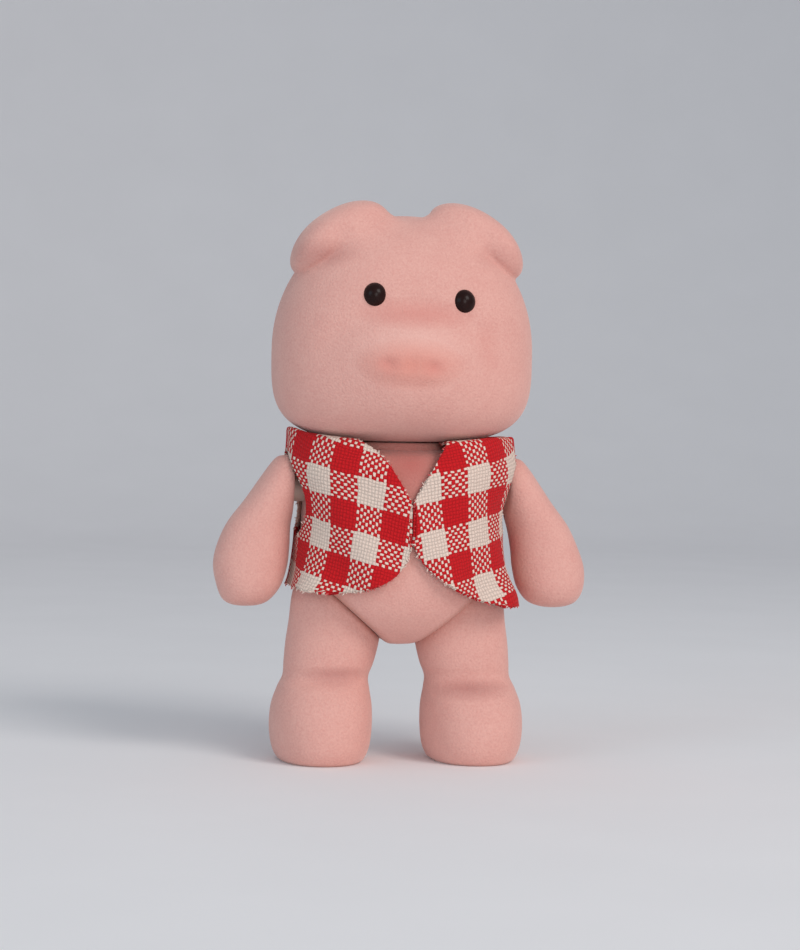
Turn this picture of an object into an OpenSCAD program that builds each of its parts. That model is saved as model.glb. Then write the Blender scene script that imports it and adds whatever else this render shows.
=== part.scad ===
// Flocked toy pig in an open gingham vest, standing on its two feet.
// Every joint is a swivel: a headed pin whose stem turns in a bore
// that the front and back shells of the body close round.
// Z is up, the pig faces -Y, and the origin is under its middle on the floor.

/* [Body] */
// Height of the neck's top above the floor
neck_z = 36.8; // [34:0.2:40]
// Height of the crotch above the floor
crotch_z = 13.4; // [12:0.2:15]
// Width of the body at its widest
body_w = 22.8; // [20:0.2:24]
// Reach of the belly in front of the seam
belly_front = 9.6; // [8:0.1:10.5]
// Reach of the back behind the seam
belly_back = 9; // [8:0.1:10]
// Thickness of the moulded shells
shell_wall = 1.5; // [1:0.1:1.8]

/* [Head] */
// Width of the head at the cheeks
head_w = 30.2; // [26:0.2:32]
// Height of the cheeks' widest line above the chin
cheek_h = 10.3; // [9:0.1:11.5]
// Height of the crown above the cheeks' widest line
crown_h = 15.9; // [14:0.1:17]
// Reach of the face in front of the seam
face_reach = 11.6; // [10.5:0.1:12.5]
// Reach of the back of the head behind the seam
nape_reach = 13.2; // [12:0.1:14]
// Gap between the chin and the neck's top
neck_gap = 0.3; // [0.2:0.05:0.5]

/* [Face] */
// Height of the nose's middle above the chin
nose_h = 8.8; // [7.5:0.1:10]
// Width of the nose
nose_w = 8.2; // [6:0.1:9.5]
// Height of the nose from edge to edge
nose_tall = 3.5; // [2.8:0.1:4.2]
// How far the nose stands out of the muzzle
nose_rise = 0.8; // [0.4:0.1:1.2]
// Width of the muzzle's dome
muzzle_w = 17; // [14:0.2:20]
// Height of the muzzle's dome
muzzle_tall = 12; // [9:0.2:14]
// How far the muzzle stands out of the face
muzzle_rise = 1.3; // [0.6:0.1:1.8]
// Distance between the middles of the two eyes
eye_gap = 10.2; // [8.5:0.1:12]
// Height of the eyes above the chin
eye_h = 16.5; // [15:0.1:18]
// Diameter of an eye bead
eye_d = 2.9; // [2:0.1:3.6]
// Diameter of an eye bead's stem
eye_stem_d = 1; // [0.8:0.1:1.4]
// Length of an eye bead's stem behind the bead
eye_stem_l = 1.8; // [1.4:0.1:2.4]

/* [Ears] */
// Thickness of an ear, half of which stands out of the head
ear_thick = 5.4; // [4:0.1:6]
// Width of an ear from its front edge to its back edge
ear_w = 9.4; // [8:0.1:11]
// How far the middle of an ear lies in front of the seam
ear_front = 2.6; // [1.5:0.1:3.5]
// Glue gap between an ear and the head
ear_glue = 0.08; // [0.05:0.01:0.15]

/* [Arms] */
// Depth of the shoulder pins below the neck's top
shoulder_drop = 5.2; // [4.3:0.1:6.8]
// Length of an arm from its top to its fingertips
arm_l = 17.6; // [15:0.1:19]
// Distance from the body's side to an arm's flat inner face
arm_off = 1.2; // [1.1:0.05:1.5]
// Depth of a pin's seat in a limb
pin_grip = 3.2; // [2.4:0.1:3.6]
// How far the hand's middle lies out from the arm's flat face
hand_out = 5.7; // [5:0.1:6.5]
// Width of the hand
hand_w = 8.4; // [7:0.1:9]
// Thickness of the hand from front to back
hand_deep = 7.6; // [6.5:0.1:7.8]

/* [Legs] */
// Distance from the body's side to the middle of a hip's flat face
hip_in = 4.5; // [4.2:0.1:4.9]
// Height of the middle of a hip's flat face above the floor
hip_z = 18.4; // [18:0.1:18.9]
// Slope of the hip faces
hip_slope = 41; // [36:1:45]
// How far the middle of a foot lies out from the middle of its hip
foot_out = 2; // [1.5:0.1:2.5]
// Width of a foot
foot_w = 11.9; // [10:0.1:12.4]
// Reach of the toes in front of the seam
toe_reach = 8.2; // [7:0.1:9]
// Reach of the heel behind the seam
heel_reach = 5.4; // [4.8:0.1:6.5]
// Thickness of the thigh from front to back
thigh_deep = 10.2; // [8.8:0.1:10.4]

/* [Pins] */
// Diameter of the neck pin's stem
neck_pin_d = 4; // [3:0.1:4.4]
// Diameter of a shoulder pin's stem
shoulder_pin_d = 3.2; // [2.6:0.1:3.4]
// Diameter of a hip pin's stem
hip_pin_d = 3.4; // [2.8:0.1:3.6]
// Thickness of the heads on the pins
pin_head_t = 1; // [0.8:0.1:1.2]
// How far a pin's head stands out round its stem
pin_lip = 1.1; // [0.8:0.1:1.2]
// Running clearance between a stem and its bore
pin_clear = 0.06; // [0.03:0.01:0.1]
// Gap between a limb's flat face and the body
limb_gap = 0.25; // [0.2:0.05:0.3]

/* [Vest] */
// Thickness of the cloth
cloth_t = 0.35; // [0.3:0.05:0.45]
// Gap between the cloth and the body
cloth_gap = 0.3; // [0.25:0.05:0.35]
// Height of the hem above the floor
hem_z = 18.8; // [18.4:0.1:19.6]
// Height at which the two front edges part below
front_low_z = 26; // [24:0.1:27]
// Length over which the two front edges meet
front_meet_l = 4.5; // [3:0.1:6]
// Half width of the neckline's opening at the top
neckline_half = 4.4; // [3.5:0.1:5]
// Gap between the two front edges where they meet
front_slit = 0.3; // [0.2:0.05:0.5]
// Radius of the armholes
armhole_r = 4.35; // [4.2:0.05:4.5]
// How far an armhole's lower end lies below the shoulder pin
armhole_drop = 1.4; // [0:0.1:2]

/* [Tail] */
// Height of the tail's root above the floor
tail_z = 16.8; // [16.2:0.1:17.2]
// Diameter of the tail at its root
tail_d = 2; // [1.6:0.1:2.4]
// Radius of the tail's curl
tail_curl_r = 1.5; // [1.2:0.1:1.8]
// How far the tail reaches behind its root
tail_reach = 5.2; // [4:0.1:5.8]

/* [Hidden] */

// One overrun serves every cut
cut_over = 1;
// Slack of a part that is glued or pressed in its seat
glue_clear = 0.02;
// Slack round a pin's head in its pocket
head_clear = 0.15;
// Wall between the pockets of the two hip pins
pocket_gap = 0.5;
// Sides of the round cutting and turning shapes
$fn = 48;

// Colours
skin = "#dda89c";
skin_shade = "#d09a90";
hard_plastic = "#d8c3b6";
bead = "#241210";
cloth = "#b8383c";

// Heights of the head
chin_z = neck_z + neck_gap;
cheek_z = chin_z + cheek_h;
nose_z = chin_z + nose_h;
head_half = head_w / 2;

// Powers of the outlines, where 2 is an ellipse and more is squarer
crown_power = 2.1;
chin_power = 3.6;
face_power = 2.5;
limb_power = 2.2;
body_power = 2.3;
nose_power = 2.7;

// Body from the neck down: height, half width, front and back reach, then
// how much the cloth stands off sideways and how much it is lifted
body_shares = [
    [1.000, 0.380, 0.440, 0.460, 0.00, 0.000],
    [0.978, 0.450, 0.500, 0.520, 0.00, 0.000],
    [0.968, 0.620, 0.610, 0.620, 0.00, 0.000],
    [0.945, 0.790, 0.730, 0.740, 0.03, 0.008],
    [0.905, 0.900, 0.830, 0.840, 0.17, 0.030],
    [0.840, 0.955, 0.905, 0.915, 0.17, 0.018],
    [0.750, 0.985, 0.950, 0.960, 0.08, 0.000],
    [0.620, 1.000, 0.985, 0.990, 0.02, 0.000],
    [0.450, 1.000, 1.000, 1.000, 0.02, 0.000],
    [0.330, 0.985, 0.985, 0.985, 0.06, 0.000],
    [0.240, 0.930, 0.940, 0.940, 0.18, 0.000],
    [0.160, 0.820, 0.850, 0.850, 0.32, 0.000],
    [0.080, 0.600, 0.680, 0.680, 0.50, 0.000],
    [0.025, 0.350, 0.440, 0.440, 0.50, 0.000],
    [0.000, 0.000, 0.000, 0.000, 0.50, 0.000]
];

// Arm from its top down: height, place of its middle from the flat face to
// the hand's middle, half width and half depth as shares of the hand's
arm_shares = [
    [1.000, 0.12, 0.00, 0.00],
    [0.985, 0.12, 0.26, 0.40],
    [0.930, 0.13, 0.46, 0.74],
    [0.830, 0.23, 0.62, 0.94],
    [0.700, 0.42, 0.74, 1.00],
    [0.550, 0.68, 0.86, 1.00],
    [0.400, 0.84, 0.95, 1.00],
    [0.270, 0.93, 1.01, 1.00],
    [0.140, 0.98, 0.94, 0.95],
    [0.050, 1.01, 0.72, 0.74],
    [0.012, 1.02, 0.40, 0.42],
    [0.000, 1.02, 0.00, 0.00]
];

// Leg from the hip down: height as a share of the hip's, place of the
// middle and half width as shares of the foot's, then the front and back
// reach, first as shares of the thigh's and then of the foot's
leg_shares = [
    [1.260, 0.88, 0.52, 0.62, 0.62, 0.00, 0.00],
    [1.160, 0.82, 0.76, 0.86, 0.86, 0.00, 0.00],
    [1.030, 0.80, 0.89, 0.98, 0.98, 0.00, 0.00],
    [0.880, 0.82, 0.91, 1.00, 1.00, 0.00, 0.00],
    [0.740, 0.86, 0.91, 0.99, 0.99, 0.00, 0.00],
    [0.620, 0.90, 0.88, 0.96, 0.96, 0.00, 0.00],
    [0.530, 0.94, 0.84, 0.90, 0.90, 0.02, 0.01],
    [0.455, 0.97, 0.90, 0.40, 0.45, 0.52, 0.45],
    [0.350, 0.99, 0.98, 0.00, 0.00, 0.92, 0.95],
    [0.220, 1.00, 1.00, 0.00, 0.00, 1.00, 1.00],
    [0.100, 1.00, 0.96, 0.00, 0.00, 0.99, 0.98],
    [0.025, 1.00, 0.87, 0.00, 0.00, 0.92, 0.90],
    [0.000, 1.00, 0.78, 0.00, 0.00, 0.84, 0.80]
];

// Rings of the face, from the nose's middle out to the head's outline
nose_ring_shares = [0.45, 0.8, 0.97, 1.14];
face_ring_shares = [0.08, 0.17, 0.27, 0.37, 0.48, 0.59, 0.7, 0.8, 0.88, 0.94, 0.98, 1];
inner_ring_shares = [1, 0.985, 0.93, 0.82, 0.66, 0.46, 0.24];
nape_ring_shares = [0.15, 0.32, 0.49, 0.64, 0.77, 0.87, 0.94, 0.98, 1];

// Counts of sides and rings
face_sides = 44;
half_sides = 14;
body_rings = 24;
limb_sides = 26;
arm_rings = 18;
leg_rings = 22;
ear_sides = 20;
ear_rings = 13;
tail_sides = 8;
tail_rings = 22;
vest_rings = 13;
vest_sides = 44;

// A value to a power with its sign kept
function signed_pow(v, p) = sign(v) * pow(abs(v), p);

// Height of a rounded outline at a share of its reach
function bulge(share, power) = pow(max(0, 1 - pow(abs(share), power)), 1 / power);

// A smooth curve through rows of values, at t from 0 to 1
function along(rows, t) =
    let (
        last = len(rows) - 1,
        i = min(floor(t * last), last - 1),
        f = t * last - i,
        a = rows[max(i - 1, 0)],
        b = rows[i],
        c = rows[i + 1],
        d = rows[min(i + 2, last)]
    )
    t >= 1 ? rows[last]
        : (2 * b + (c - a) * f + (2 * a - 5 * b + 4 * c - d) * f * f
            + (3 * b - a - 3 * c + d) * f * f * f) / 2;

// One point of a level ring: the row is height, middle, half width, front and back
function ring_point(row, turn, power) =
    let (side = signed_pow(cos(turn), 2 / power), deep = signed_pow(sin(turn), 2 / power))
    [row[1] + row[2] * side, (deep < 0 ? row[3] : row[4]) * deep, row[0]];

function ring(row, sides, power) =
    [for (i = [0 : sides - 1]) ring_point(row, 360 * i / sides, power)];

// Closes a stack of rings of points into one solid, with flat ends
module stack(rings) {
    sides = len(rings[0]);
    last = len(rings) - 1;
    points = [for (r = rings, p = r) p];
    walls = [
        for (j = [0 : last - 1], i = [0 : sides - 1])
            let (a = j * sides + i, b = j * sides + (i + 1) % sides)
            each [[a, b, b + sides], [a, b + sides, a + sides]]
    ];
    first_end = [for (i = [1 : sides - 2]) [0, i + 1, i]];
    last_end = [for (i = [1 : sides - 2]) [last * sides, last * sides + i, last * sides + i + 1]];
    polyhedron(points, concat(first_end, walls, last_end));
}

// Closes rings that run from one pole, round a rim and back to another pole
module bowl(first_pole, rings, last_pole) {
    sides = len(rings[0]);
    last = len(rings) - 1;
    points = concat([first_pole], [for (r = rings, p = r) p], [last_pole]);
    end = len(points) - 1;
    walls = [
        for (j = [0 : last - 1], i = [0 : sides - 1])
            let (a = 1 + j * sides + i, b = 1 + j * sides + (i + 1) % sides)
            each [[a, b, b + sides], [a, b + sides, a + sides]]
    ];
    first_fan = [for (i = [0 : sides - 1]) [0, 1 + (i + 1) % sides, 1 + i]];
    last_fan = [
        for (i = [0 : sides - 1])
            [end, 1 + last * sides + i, 1 + last * sides + (i + 1) % sides]
    ];
    polyhedron(points, concat(first_fan, walls, last_fan));
}

// Mirrors a piece of the pig's left side onto its right
module on_side(side) {
    if (side < 0) mirror([1, 0, 0]) children();
    else children();
}

// Places that follow the body's width and height
shoulder_z = neck_z - shoulder_drop;
arm_face_x = body_w / 2 + arm_off;
hip_x = body_w / 2 - hip_in;
foot_x = hip_x + foot_out;

// Body
body_h = neck_z - crotch_z;
body_mid = crotch_z + body_h / 2;
// Floor of the hollow inside the body, above the solid hips
hollow_floor_share = 0.7;
hollow_floor = hip_z + hip_x * tan(hip_slope) * hollow_floor_share;
// How far a shoulder boss reaches into the hollow
boss_reach_share = 0.8;
boss_reach = boss_reach_share * shell_wall;
boss_in = body_w / 2 - shell_wall - boss_reach;
boss_out = arm_face_x - limb_gap;
boss_wall_share = 1.2;
boss_r = shoulder_pin_d / 2 + boss_wall_share * shell_wall;

// A row of the body for ring_point, grown outwards or, below zero, inwards,
// with the growth fading where the row narrows to a pole
fade_share = 3;
function body_row(r, grow) =
    let (edge = min(1, fade_share * r[1]))
    [
        body_mid + (r[0] - 0.5) * (body_h + 2 * grow),
        0,
        body_w / 2 * r[1] + grow * edge,
        belly_front * r[2] + grow * edge,
        belly_back * r[3] + grow * edge
    ];

body_outside = [for (r = body_shares) body_row(r, 0)];
body_hollow = [for (r = body_shares) body_row(r, -shell_wall)];

// A loop round one half of the body's wall, on side -1 in front or 1 behind
function wall_loop(outer, inner, side) =
    let (start = side < 0 ? 180 : 0)
    concat(
        [for (i = [0 : half_sides]) ring_point(outer, start + 180 * i / half_sides, body_power)],
        [for (i = [half_sides : -1 : 0]) ring_point(inner, start + 180 * i / half_sides, body_power)]
    );

function above_floor(row) = [max(row[0], hollow_floor), row[1], row[2], row[3], row[4]];

module body_shell(side) {
    top = [neck_z, 0, 0, 0, 0];
    ceiling = [neck_z - shell_wall, 0, 0, 0, 0];
    stack([
        wall_loop(top, ceiling, side),
        for (i = [0 : body_rings])
            wall_loop(
                along(body_outside, i / body_rings),
                above_floor(along(body_hollow, i / body_rings)),
                side
            )
    ]);
}

// Half of a boss round a shoulder pin
module shoulder_boss(side) {
    translate([boss_in, 0, shoulder_z]) rotate([0, 90, 0]) linear_extrude(boss_out - boss_in)
        intersection() {
            circle(boss_r);
            translate([-boss_r, side < 0 ? -boss_r : 0]) square([2 * boss_r, boss_r]);
        }
}

// Puts its children in the frame of a hip, whose Z runs up into the body
module at_hip(side) {
    on_side(side) translate([hip_x, 0, hip_z]) rotate([0, -hip_slope, 0]) children();
}

// Everything on the leg's side of a hip face
module below_hip_face() {
    translate([-body_w, -body_w, -body_w]) cube([2 * body_w, 2 * body_w, body_w]);
}

neck_bore_r = neck_pin_d / 2 + pin_clear;
shoulder_bore_r = shoulder_pin_d / 2 + pin_clear;
hip_bore_r = hip_pin_d / 2 + pin_clear;
neck_head_r = neck_pin_d / 2 + pin_lip;
shoulder_head_r = shoulder_pin_d / 2 + pin_lip;
hip_head_r = hip_pin_d / 2 + pin_lip;
// Length of the pocket that a pin's head turns in
pocket_l = pin_head_t + 2 * head_clear;
// Depth of the solid web between a hip face and its pin's pocket, which
// keeps the two pockets clear of each other at the middle of the body
hip_pocket_r = hip_head_r + head_clear;
hip_web = (hip_x - pocket_gap / 2 - hip_pocket_r * cos(hip_slope)) / sin(hip_slope) - pocket_l;

// Bores and pockets that the two halves of the body close round the pins
module body_cuts() {
    translate([0, 0, neck_z - shell_wall - pocket_l]) {
        cylinder(h = pocket_l, r = neck_head_r + head_clear);
        cylinder(h = pocket_l + shell_wall + cut_over, r = neck_bore_r);
    }
    for (side = [-1, 1]) {
        on_side(side) translate([boss_in - pocket_l, 0, shoulder_z]) rotate([0, 90, 0]) {
            cylinder(h = pocket_l, r = shoulder_head_r + head_clear);
            cylinder(h = pocket_l + boss_out - boss_in + cut_over, r = shoulder_bore_r);
        }
        at_hip(side) {
            below_hip_face();
            translate([0, 0, -cut_over]) cylinder(h = hip_web + 2 * cut_over, r = hip_bore_r);
            translate([0, 0, hip_web]) cylinder(h = pocket_l + pin_head_t, r = hip_pocket_r);
        }
    }
}

module body_half(side) {
    difference() {
        union() {
            body_shell(side);
            for (arm = [-1, 1]) on_side(arm) shoulder_boss(side);
        }
        body_cuts();
    }
}

// Place of the tail's root on the back
tail_root_share = 0.82;
tail_root_y = belly_back * tail_root_share;
tail_peg_l = shell_wall;
tail_peg_share = 0.35;
tail_peg_r = tail_peg_share * tail_d;

module torso_front() {
    color(skin) body_half(-1);
}

module torso_back() {
    color(skin_shade) difference() {
        body_half(1);
        translate([0, tail_root_y, tail_z]) rotate([-90, 0, 0]) {
            cylinder(h = tail_d, r = tail_d / 2 + glue_clear);
            translate([0, 0, -tail_peg_l]) cylinder(h = tail_peg_l + cut_over, r = tail_peg_r + glue_clear);
        }
    }
}

// Tail: a curl that widens from its root, then keeps its radius
tail_turns = 1.25;
tail_widening_share = 0.4;
tail_taper_share = 0.55;
function tail_point(t) =
    let (
        ease = min(1, t / tail_widening_share),
        r = tail_curl_r * ease * ease * (3 - 2 * ease),
        turn = 360 * tail_turns * t
    )
    [r * sin(turn), tail_root_y + glue_clear + tail_reach * t, tail_z - r * (1 - cos(turn))];

function unit(v) = v / norm(v);

// Carries a side direction along a path with the least turning
function carried(directions, i, side) =
    i == len(directions) ? []
        : let (here = unit(side - (side * directions[i]) * directions[i]))
            concat([here], carried(directions, i + 1, here));

module tail() {
    path = [for (i = [0 : tail_rings]) tail_point(i / tail_rings)];
    directions = [
        for (i = [0 : tail_rings])
            i == 0 ? [0, 1, 0] : unit(path[min(i + 1, tail_rings)] - path[i - 1])
    ];
    sides = carried(directions, 0, [1, 0, 0]);
    color(skin) {
        stack([
            for (i = [0 : tail_rings])
                let (r = tail_d / 2 * (1 - tail_taper_share * i / tail_rings))
                [
                    for (k = [0 : tail_sides - 1])
                        let (turn = 360 * k / tail_sides)
                        path[i] + r * (cos(turn) * sides[i] + sin(turn) * cross(sides[i], directions[i]))
                ]
        ]);
        translate([0, tail_root_y - tail_peg_l + glue_clear, tail_z]) rotate([-90, 0, 0])
            cylinder(h = tail_peg_l + tail_d / 4, r = tail_peg_r);
    }
}

// Head: half width and depth at a height, grown outwards or inwards
function head_half_at(z, grow) =
    (head_half + grow) * (z > cheek_z
        ? bulge((z - cheek_z) / (crown_h + grow), crown_power)
        : bulge((cheek_z - z) / (cheek_h + grow), chin_power));

function head_deep_at(z, grow, side) =
    ((side < 0 ? face_reach : nape_reach) + grow) * (z > cheek_z
        ? bulge((z - cheek_z) / (crown_h + grow), side < 0 ? face_power : crown_power)
        : bulge((cheek_z - z) / (cheek_h + grow), chin_power));

function head_surface(x, z, grow, side) =
    let (half = head_half_at(z, grow))
    half <= abs(x) ? 0 : head_deep_at(z, grow, side) * bulge(x / half, face_power);

// How far the muzzle's dome and the nose stand out at a place on the face
nose_edge = nose_ring_shares[3];
nose_brim = nose_ring_shares[2];
function nose_share(x, z) =
    pow(
        pow(abs(2 * x / nose_w), nose_power) + pow(abs(2 * (z - nose_z) / nose_tall), nose_power),
        1 / nose_power
    );

function relief(x, z) =
    let (
        dome = pow(2 * x / muzzle_w, 2) + pow(2 * (z - nose_z) / muzzle_tall, 2),
        pad = (nose_edge - nose_share(x, z)) / (nose_edge - nose_brim)
    )
    muzzle_rise * max(0, 1 - dome) + nose_rise * min(1, max(0, pad));

// Places on the outlines of the nose and the head, seen from the front
function nose_outline(turn) = [
    nose_w / 2 * signed_pow(cos(turn), 2 / nose_power),
    nose_z + nose_tall / 2 * signed_pow(sin(turn), 2 / nose_power)
];

function head_outline(turn, grow) =
    let (up = sin(turn) > 0, power = up ? crown_power : chin_power)
    [
        (head_half + grow) * signed_pow(cos(turn), 2 / power),
        cheek_z + ((up ? crown_h : cheek_h) + grow) * signed_pow(sin(turn), 2 / power)
    ];

function face_turn(i, side) = -side * 360 * i / face_sides;

// A ring of the face at a share of the way from the nose's edge to the outline
function face_ring(share) = [
    for (i = [0 : face_sides - 1])
        let (
            turn = face_turn(i, -1),
            near = [0, nose_z] + nose_edge * (nose_outline(turn) - [0, nose_z]),
            p = near + share * (head_outline(turn, 0) - near)
        )
        [p[0], share == 1 ? 0 : -head_surface(p[0], p[1], 0, -1) - relief(p[0], p[1]), p[1]]
];

function nose_ring(share) = [
    for (i = [0 : face_sides - 1])
        let (p = [0, nose_z] + share * (nose_outline(face_turn(i, -1)) - [0, nose_z]))
        [p[0], -head_surface(p[0], p[1], 0, -1) - relief(p[0], p[1]), p[1]]
];

// A ring round the head's middle at a share of its outline, on one side
function head_ring(share, grow, side, winding) = [
    for (i = [0 : face_sides - 1])
        let (
            turn = face_turn(i, winding),
            p = [0, cheek_z] + share * (head_outline(turn, grow) - [0, cheek_z])
        )
        [p[0], share == 1 ? 0 : side * head_surface(p[0], p[1], grow, side), p[1]]
];

function head_pole(grow, side) = [0, side * head_surface(0, cheek_z, grow, side), cheek_z];

// The whole head without its muzzle, grown by the glue gap under an ear
module head_form(grow) {
    bowl(
        head_pole(grow, -1),
        concat(
            [for (s = nape_ring_shares) head_ring(s, grow, -1, -1)],
            [for (i = [len(nape_ring_shares) - 2 : -1 : 0]) head_ring(nape_ring_shares[i], grow, 1, -1)]
        ),
        head_pole(grow, 1)
    );
}

module neck_seat() {
    translate([0, 0, chin_z - cut_over]) cylinder(h = shell_wall + 2 * cut_over, r = neck_pin_d / 2 + glue_clear);
}

// Places a piece at the middle of an eye bead, with Z running into the head
eye_z = chin_z + eye_h;
eye_sink_share = 0.15;
eye_sink = eye_sink_share * eye_d;
module at_eye(side) {
    depth = head_surface(eye_gap / 2, eye_z, 0, -1) - eye_sink;
    translate([side * eye_gap / 2, -depth, eye_z]) rotate([-90, 0, 0]) children();
}

module eye_bead(slack) {
    sphere(d = eye_d + 2 * slack);
    cylinder(h = eye_d / 2 + eye_stem_l + slack, d = eye_stem_d + 2 * slack);
}

nostril_share = 0.19;
nostril_r = nostril_share * nose_tall;
nostril_out_share = 0.62;
nostril_x = nostril_out_share * nose_w / 2;

module head_front() {
    color(skin) difference() {
        bowl(
            [0, -head_surface(0, nose_z, 0, -1) - relief(0, nose_z), nose_z],
            concat(
                [for (s = nose_ring_shares) nose_ring(s)],
                [for (s = face_ring_shares) face_ring(s)],
                [for (s = inner_ring_shares) head_ring(s, -shell_wall, -1, -1)]
            ),
            head_pole(-shell_wall, -1)
        );
        for (side = [-1, 1]) {
            at_eye(side) eye_bead(glue_clear);
            translate([
                side * nostril_x,
                -head_surface(nostril_x, nose_z, 0, -1) - relief(nostril_x, nose_z) - nostril_r / 4,
                nose_z + nostril_r / 2
            ]) sphere(nostril_r);
        }
        neck_seat();
    }
}

module head_back() {
    color(skin_shade) difference() {
        bowl(
            head_pole(0, 1),
            concat(
                [for (s = nape_ring_shares) head_ring(s, 0, 1, 1)],
                [for (s = inner_ring_shares) head_ring(s, -shell_wall, 1, 1)]
            ),
            head_pole(-shell_wall, 1)
        );
        neck_seat();
    }
}

module eye(side) {
    color(bead) at_eye(side) eye_bead(0);
}

// Ear along the head's outline: share of its path, then shares of its
// thickness and of its width
ear_shares = [
    [0.00, 0.00, 0.00],
    [0.03, 0.42, 0.28],
    [0.10, 0.76, 0.54],
    [0.24, 0.93, 0.80],
    [0.42, 1.00, 0.97],
    [0.60, 0.98, 1.00],
    [0.76, 0.87, 0.90],
    [0.89, 0.60, 0.68],
    [0.97, 0.30, 0.38],
    [1.00, 0.00, 0.00]
];
ear_start_angle = 81;
ear_end_angle = 33;

function ear_ring(t) =
    let (
        row = along(ear_shares, t),
        p = head_outline(ear_start_angle + (ear_end_angle - ear_start_angle) * row[0], 0),
        out = unit([p[0], p[1] - cheek_z])
    )
    [
        for (i = [0 : ear_sides - 1])
            let (
                turn = 360 * i / ear_sides,
                rise = ear_thick / 2 * row[1] * signed_pow(sin(turn), 2 / limb_power),
                reach = ear_w / 2 * row[2] * signed_pow(cos(turn), 2 / limb_power)
            )
            [p[0] + rise * out[0], -reach - ear_front, p[1] + rise * out[1]]
    ];

module ear(side) {
    color(skin) on_side(side) difference() {
        stack([for (i = [0 : ear_rings]) ear_ring(i / ear_rings)]);
        head_form(ear_glue);
    }
}

// A headed pin that stands on z = 0, with a second head if it has one
module pin(stem_r, l, head_r) {
    cylinder(h = l, r = stem_r);
    cylinder(h = pin_head_t, r = head_r);
}

module neck_pin() {
    low = neck_z - shell_wall - head_clear - pin_head_t;
    high = chin_z + shell_wall + head_clear;
    color(hard_plastic) {
        translate([0, 0, low]) pin(neck_pin_d / 2, high - low, neck_head_r);
        translate([0, 0, high]) cylinder(h = pin_head_t, r = neck_head_r);
    }
}

// Arm
arm_top = shoulder_z + hand_deep / 2;
function arm_row(r) = [
    arm_top - arm_l * (1 - r[0]),
    arm_face_x + hand_out * r[1],
    hand_w / 2 * r[2],
    hand_deep / 2 * r[3],
    hand_deep / 2 * r[3]
];

module arm(side) {
    rows = [for (r = arm_shares) arm_row(r)];
    color(skin) on_side(side) difference() {
        stack([for (i = [0 : arm_rings]) ring(along(rows, i / arm_rings), limb_sides, limb_power)]);
        translate([arm_face_x - hand_w, -hand_w, arm_top - arm_l - cut_over])
            cube([hand_w, 2 * hand_w, arm_l + 2 * cut_over]);
        translate([arm_face_x - cut_over, 0, shoulder_z]) rotate([0, 90, 0])
            cylinder(h = pin_grip + cut_over, r = shoulder_pin_d / 2 + glue_clear);
    }
}

module shoulder_pin(side) {
    start = boss_in - head_clear - pin_head_t;
    color(hard_plastic) on_side(side) translate([start, 0, shoulder_z]) rotate([0, 90, 0])
        pin(shoulder_pin_d / 2, arm_face_x + pin_grip - glue_clear - start, shoulder_head_r);
}

// Leg
function leg_row(r) = [
    hip_z * r[0],
    foot_x * r[1],
    foot_w / 2 * r[2],
    thigh_deep / 2 * r[3] + toe_reach * r[5],
    thigh_deep / 2 * r[4] + heel_reach * r[6]
];

module leg(side) {
    rows = [for (r = leg_shares) leg_row(r)];
    color(skin) difference() {
        on_side(side) stack([
            for (i = [0 : leg_rings]) ring(along(rows, i / leg_rings), limb_sides, limb_power)
        ]);
        at_hip(side) {
            translate([-body_w, -body_w, -limb_gap]) cube([2 * body_w, 2 * body_w, body_w]);
            translate([0, 0, -limb_gap - pin_grip]) cylinder(h = pin_grip + cut_over, r = hip_pin_d / 2 + glue_clear);
        }
    }
}

module hip_pin(side) {
    start = hip_web + head_clear + pin_head_t;
    color(hard_plastic) at_hip(side) translate([0, 0, start]) rotate([180, 0, 0])
        pin(hip_pin_d / 2, start + limb_gap + pin_grip - glue_clear, hip_head_r);
}

// Vest: a sleeve of cloth over the body, cut open in front
vest_top_share = 0.1;
vest_end_share = 0.79;
fold_share = 0.9;
fold_deep = fold_share * cloth_t;
folds = 9;

function vest_row(r, grow) =
    let (row = body_row(r, grow), ease = r[4] * body_w / 2)
    [row[0] + r[5] * body_h, 0, row[2] + ease, row[3] + ease / 3, row[4] + ease / 3];

// A ring of the cloth, whose folds deepen towards the hem
function vest_ring(row, low_share) = [
    for (i = [0 : vest_sides - 1])
        let (
            turn = 360 * i / vest_sides,
            wave = fold_deep * pow(low_share, 2) * (1 + cos(folds * turn + 180)) / 2
        )
        ring_point([row[0], 0, row[2] + wave, row[3] + wave, row[4] + wave], turn, body_power)
];

function vest_rings(grow) =
    let (rows = [for (r = body_shares) vest_row(r, grow)])
    [
        for (j = [0 : vest_rings])
            let (t = vest_top_share + (vest_end_share - vest_top_share) * j / vest_rings)
            vest_ring(along(rows, t), j / vest_rings)
    ];

// Outline of what is cut away in front: the neckline, the slit where the two
// edges meet and the rounded corners below
front_high_z = front_low_z + front_meet_l;
hem_power = 1.75;
hem_points = 10;
front_cut = let (half = body_w / 2, slit = front_slit / 2)
    concat(
        [[neckline_half, neck_z + cut_over], [slit, front_high_z], [slit, front_low_z]],
        [
            for (i = [1 : hem_points])
                let (turn = 90 * i / hem_points)
                [
                    half - (half - slit) * pow(cos(turn), 2 / hem_power),
                    front_low_z - (front_low_z - hem_z) * pow(sin(turn), 2 / hem_power)
                ]
        ],
        [[half, crotch_z], [0, crotch_z], [0, neck_z + cut_over]]
    );

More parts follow.
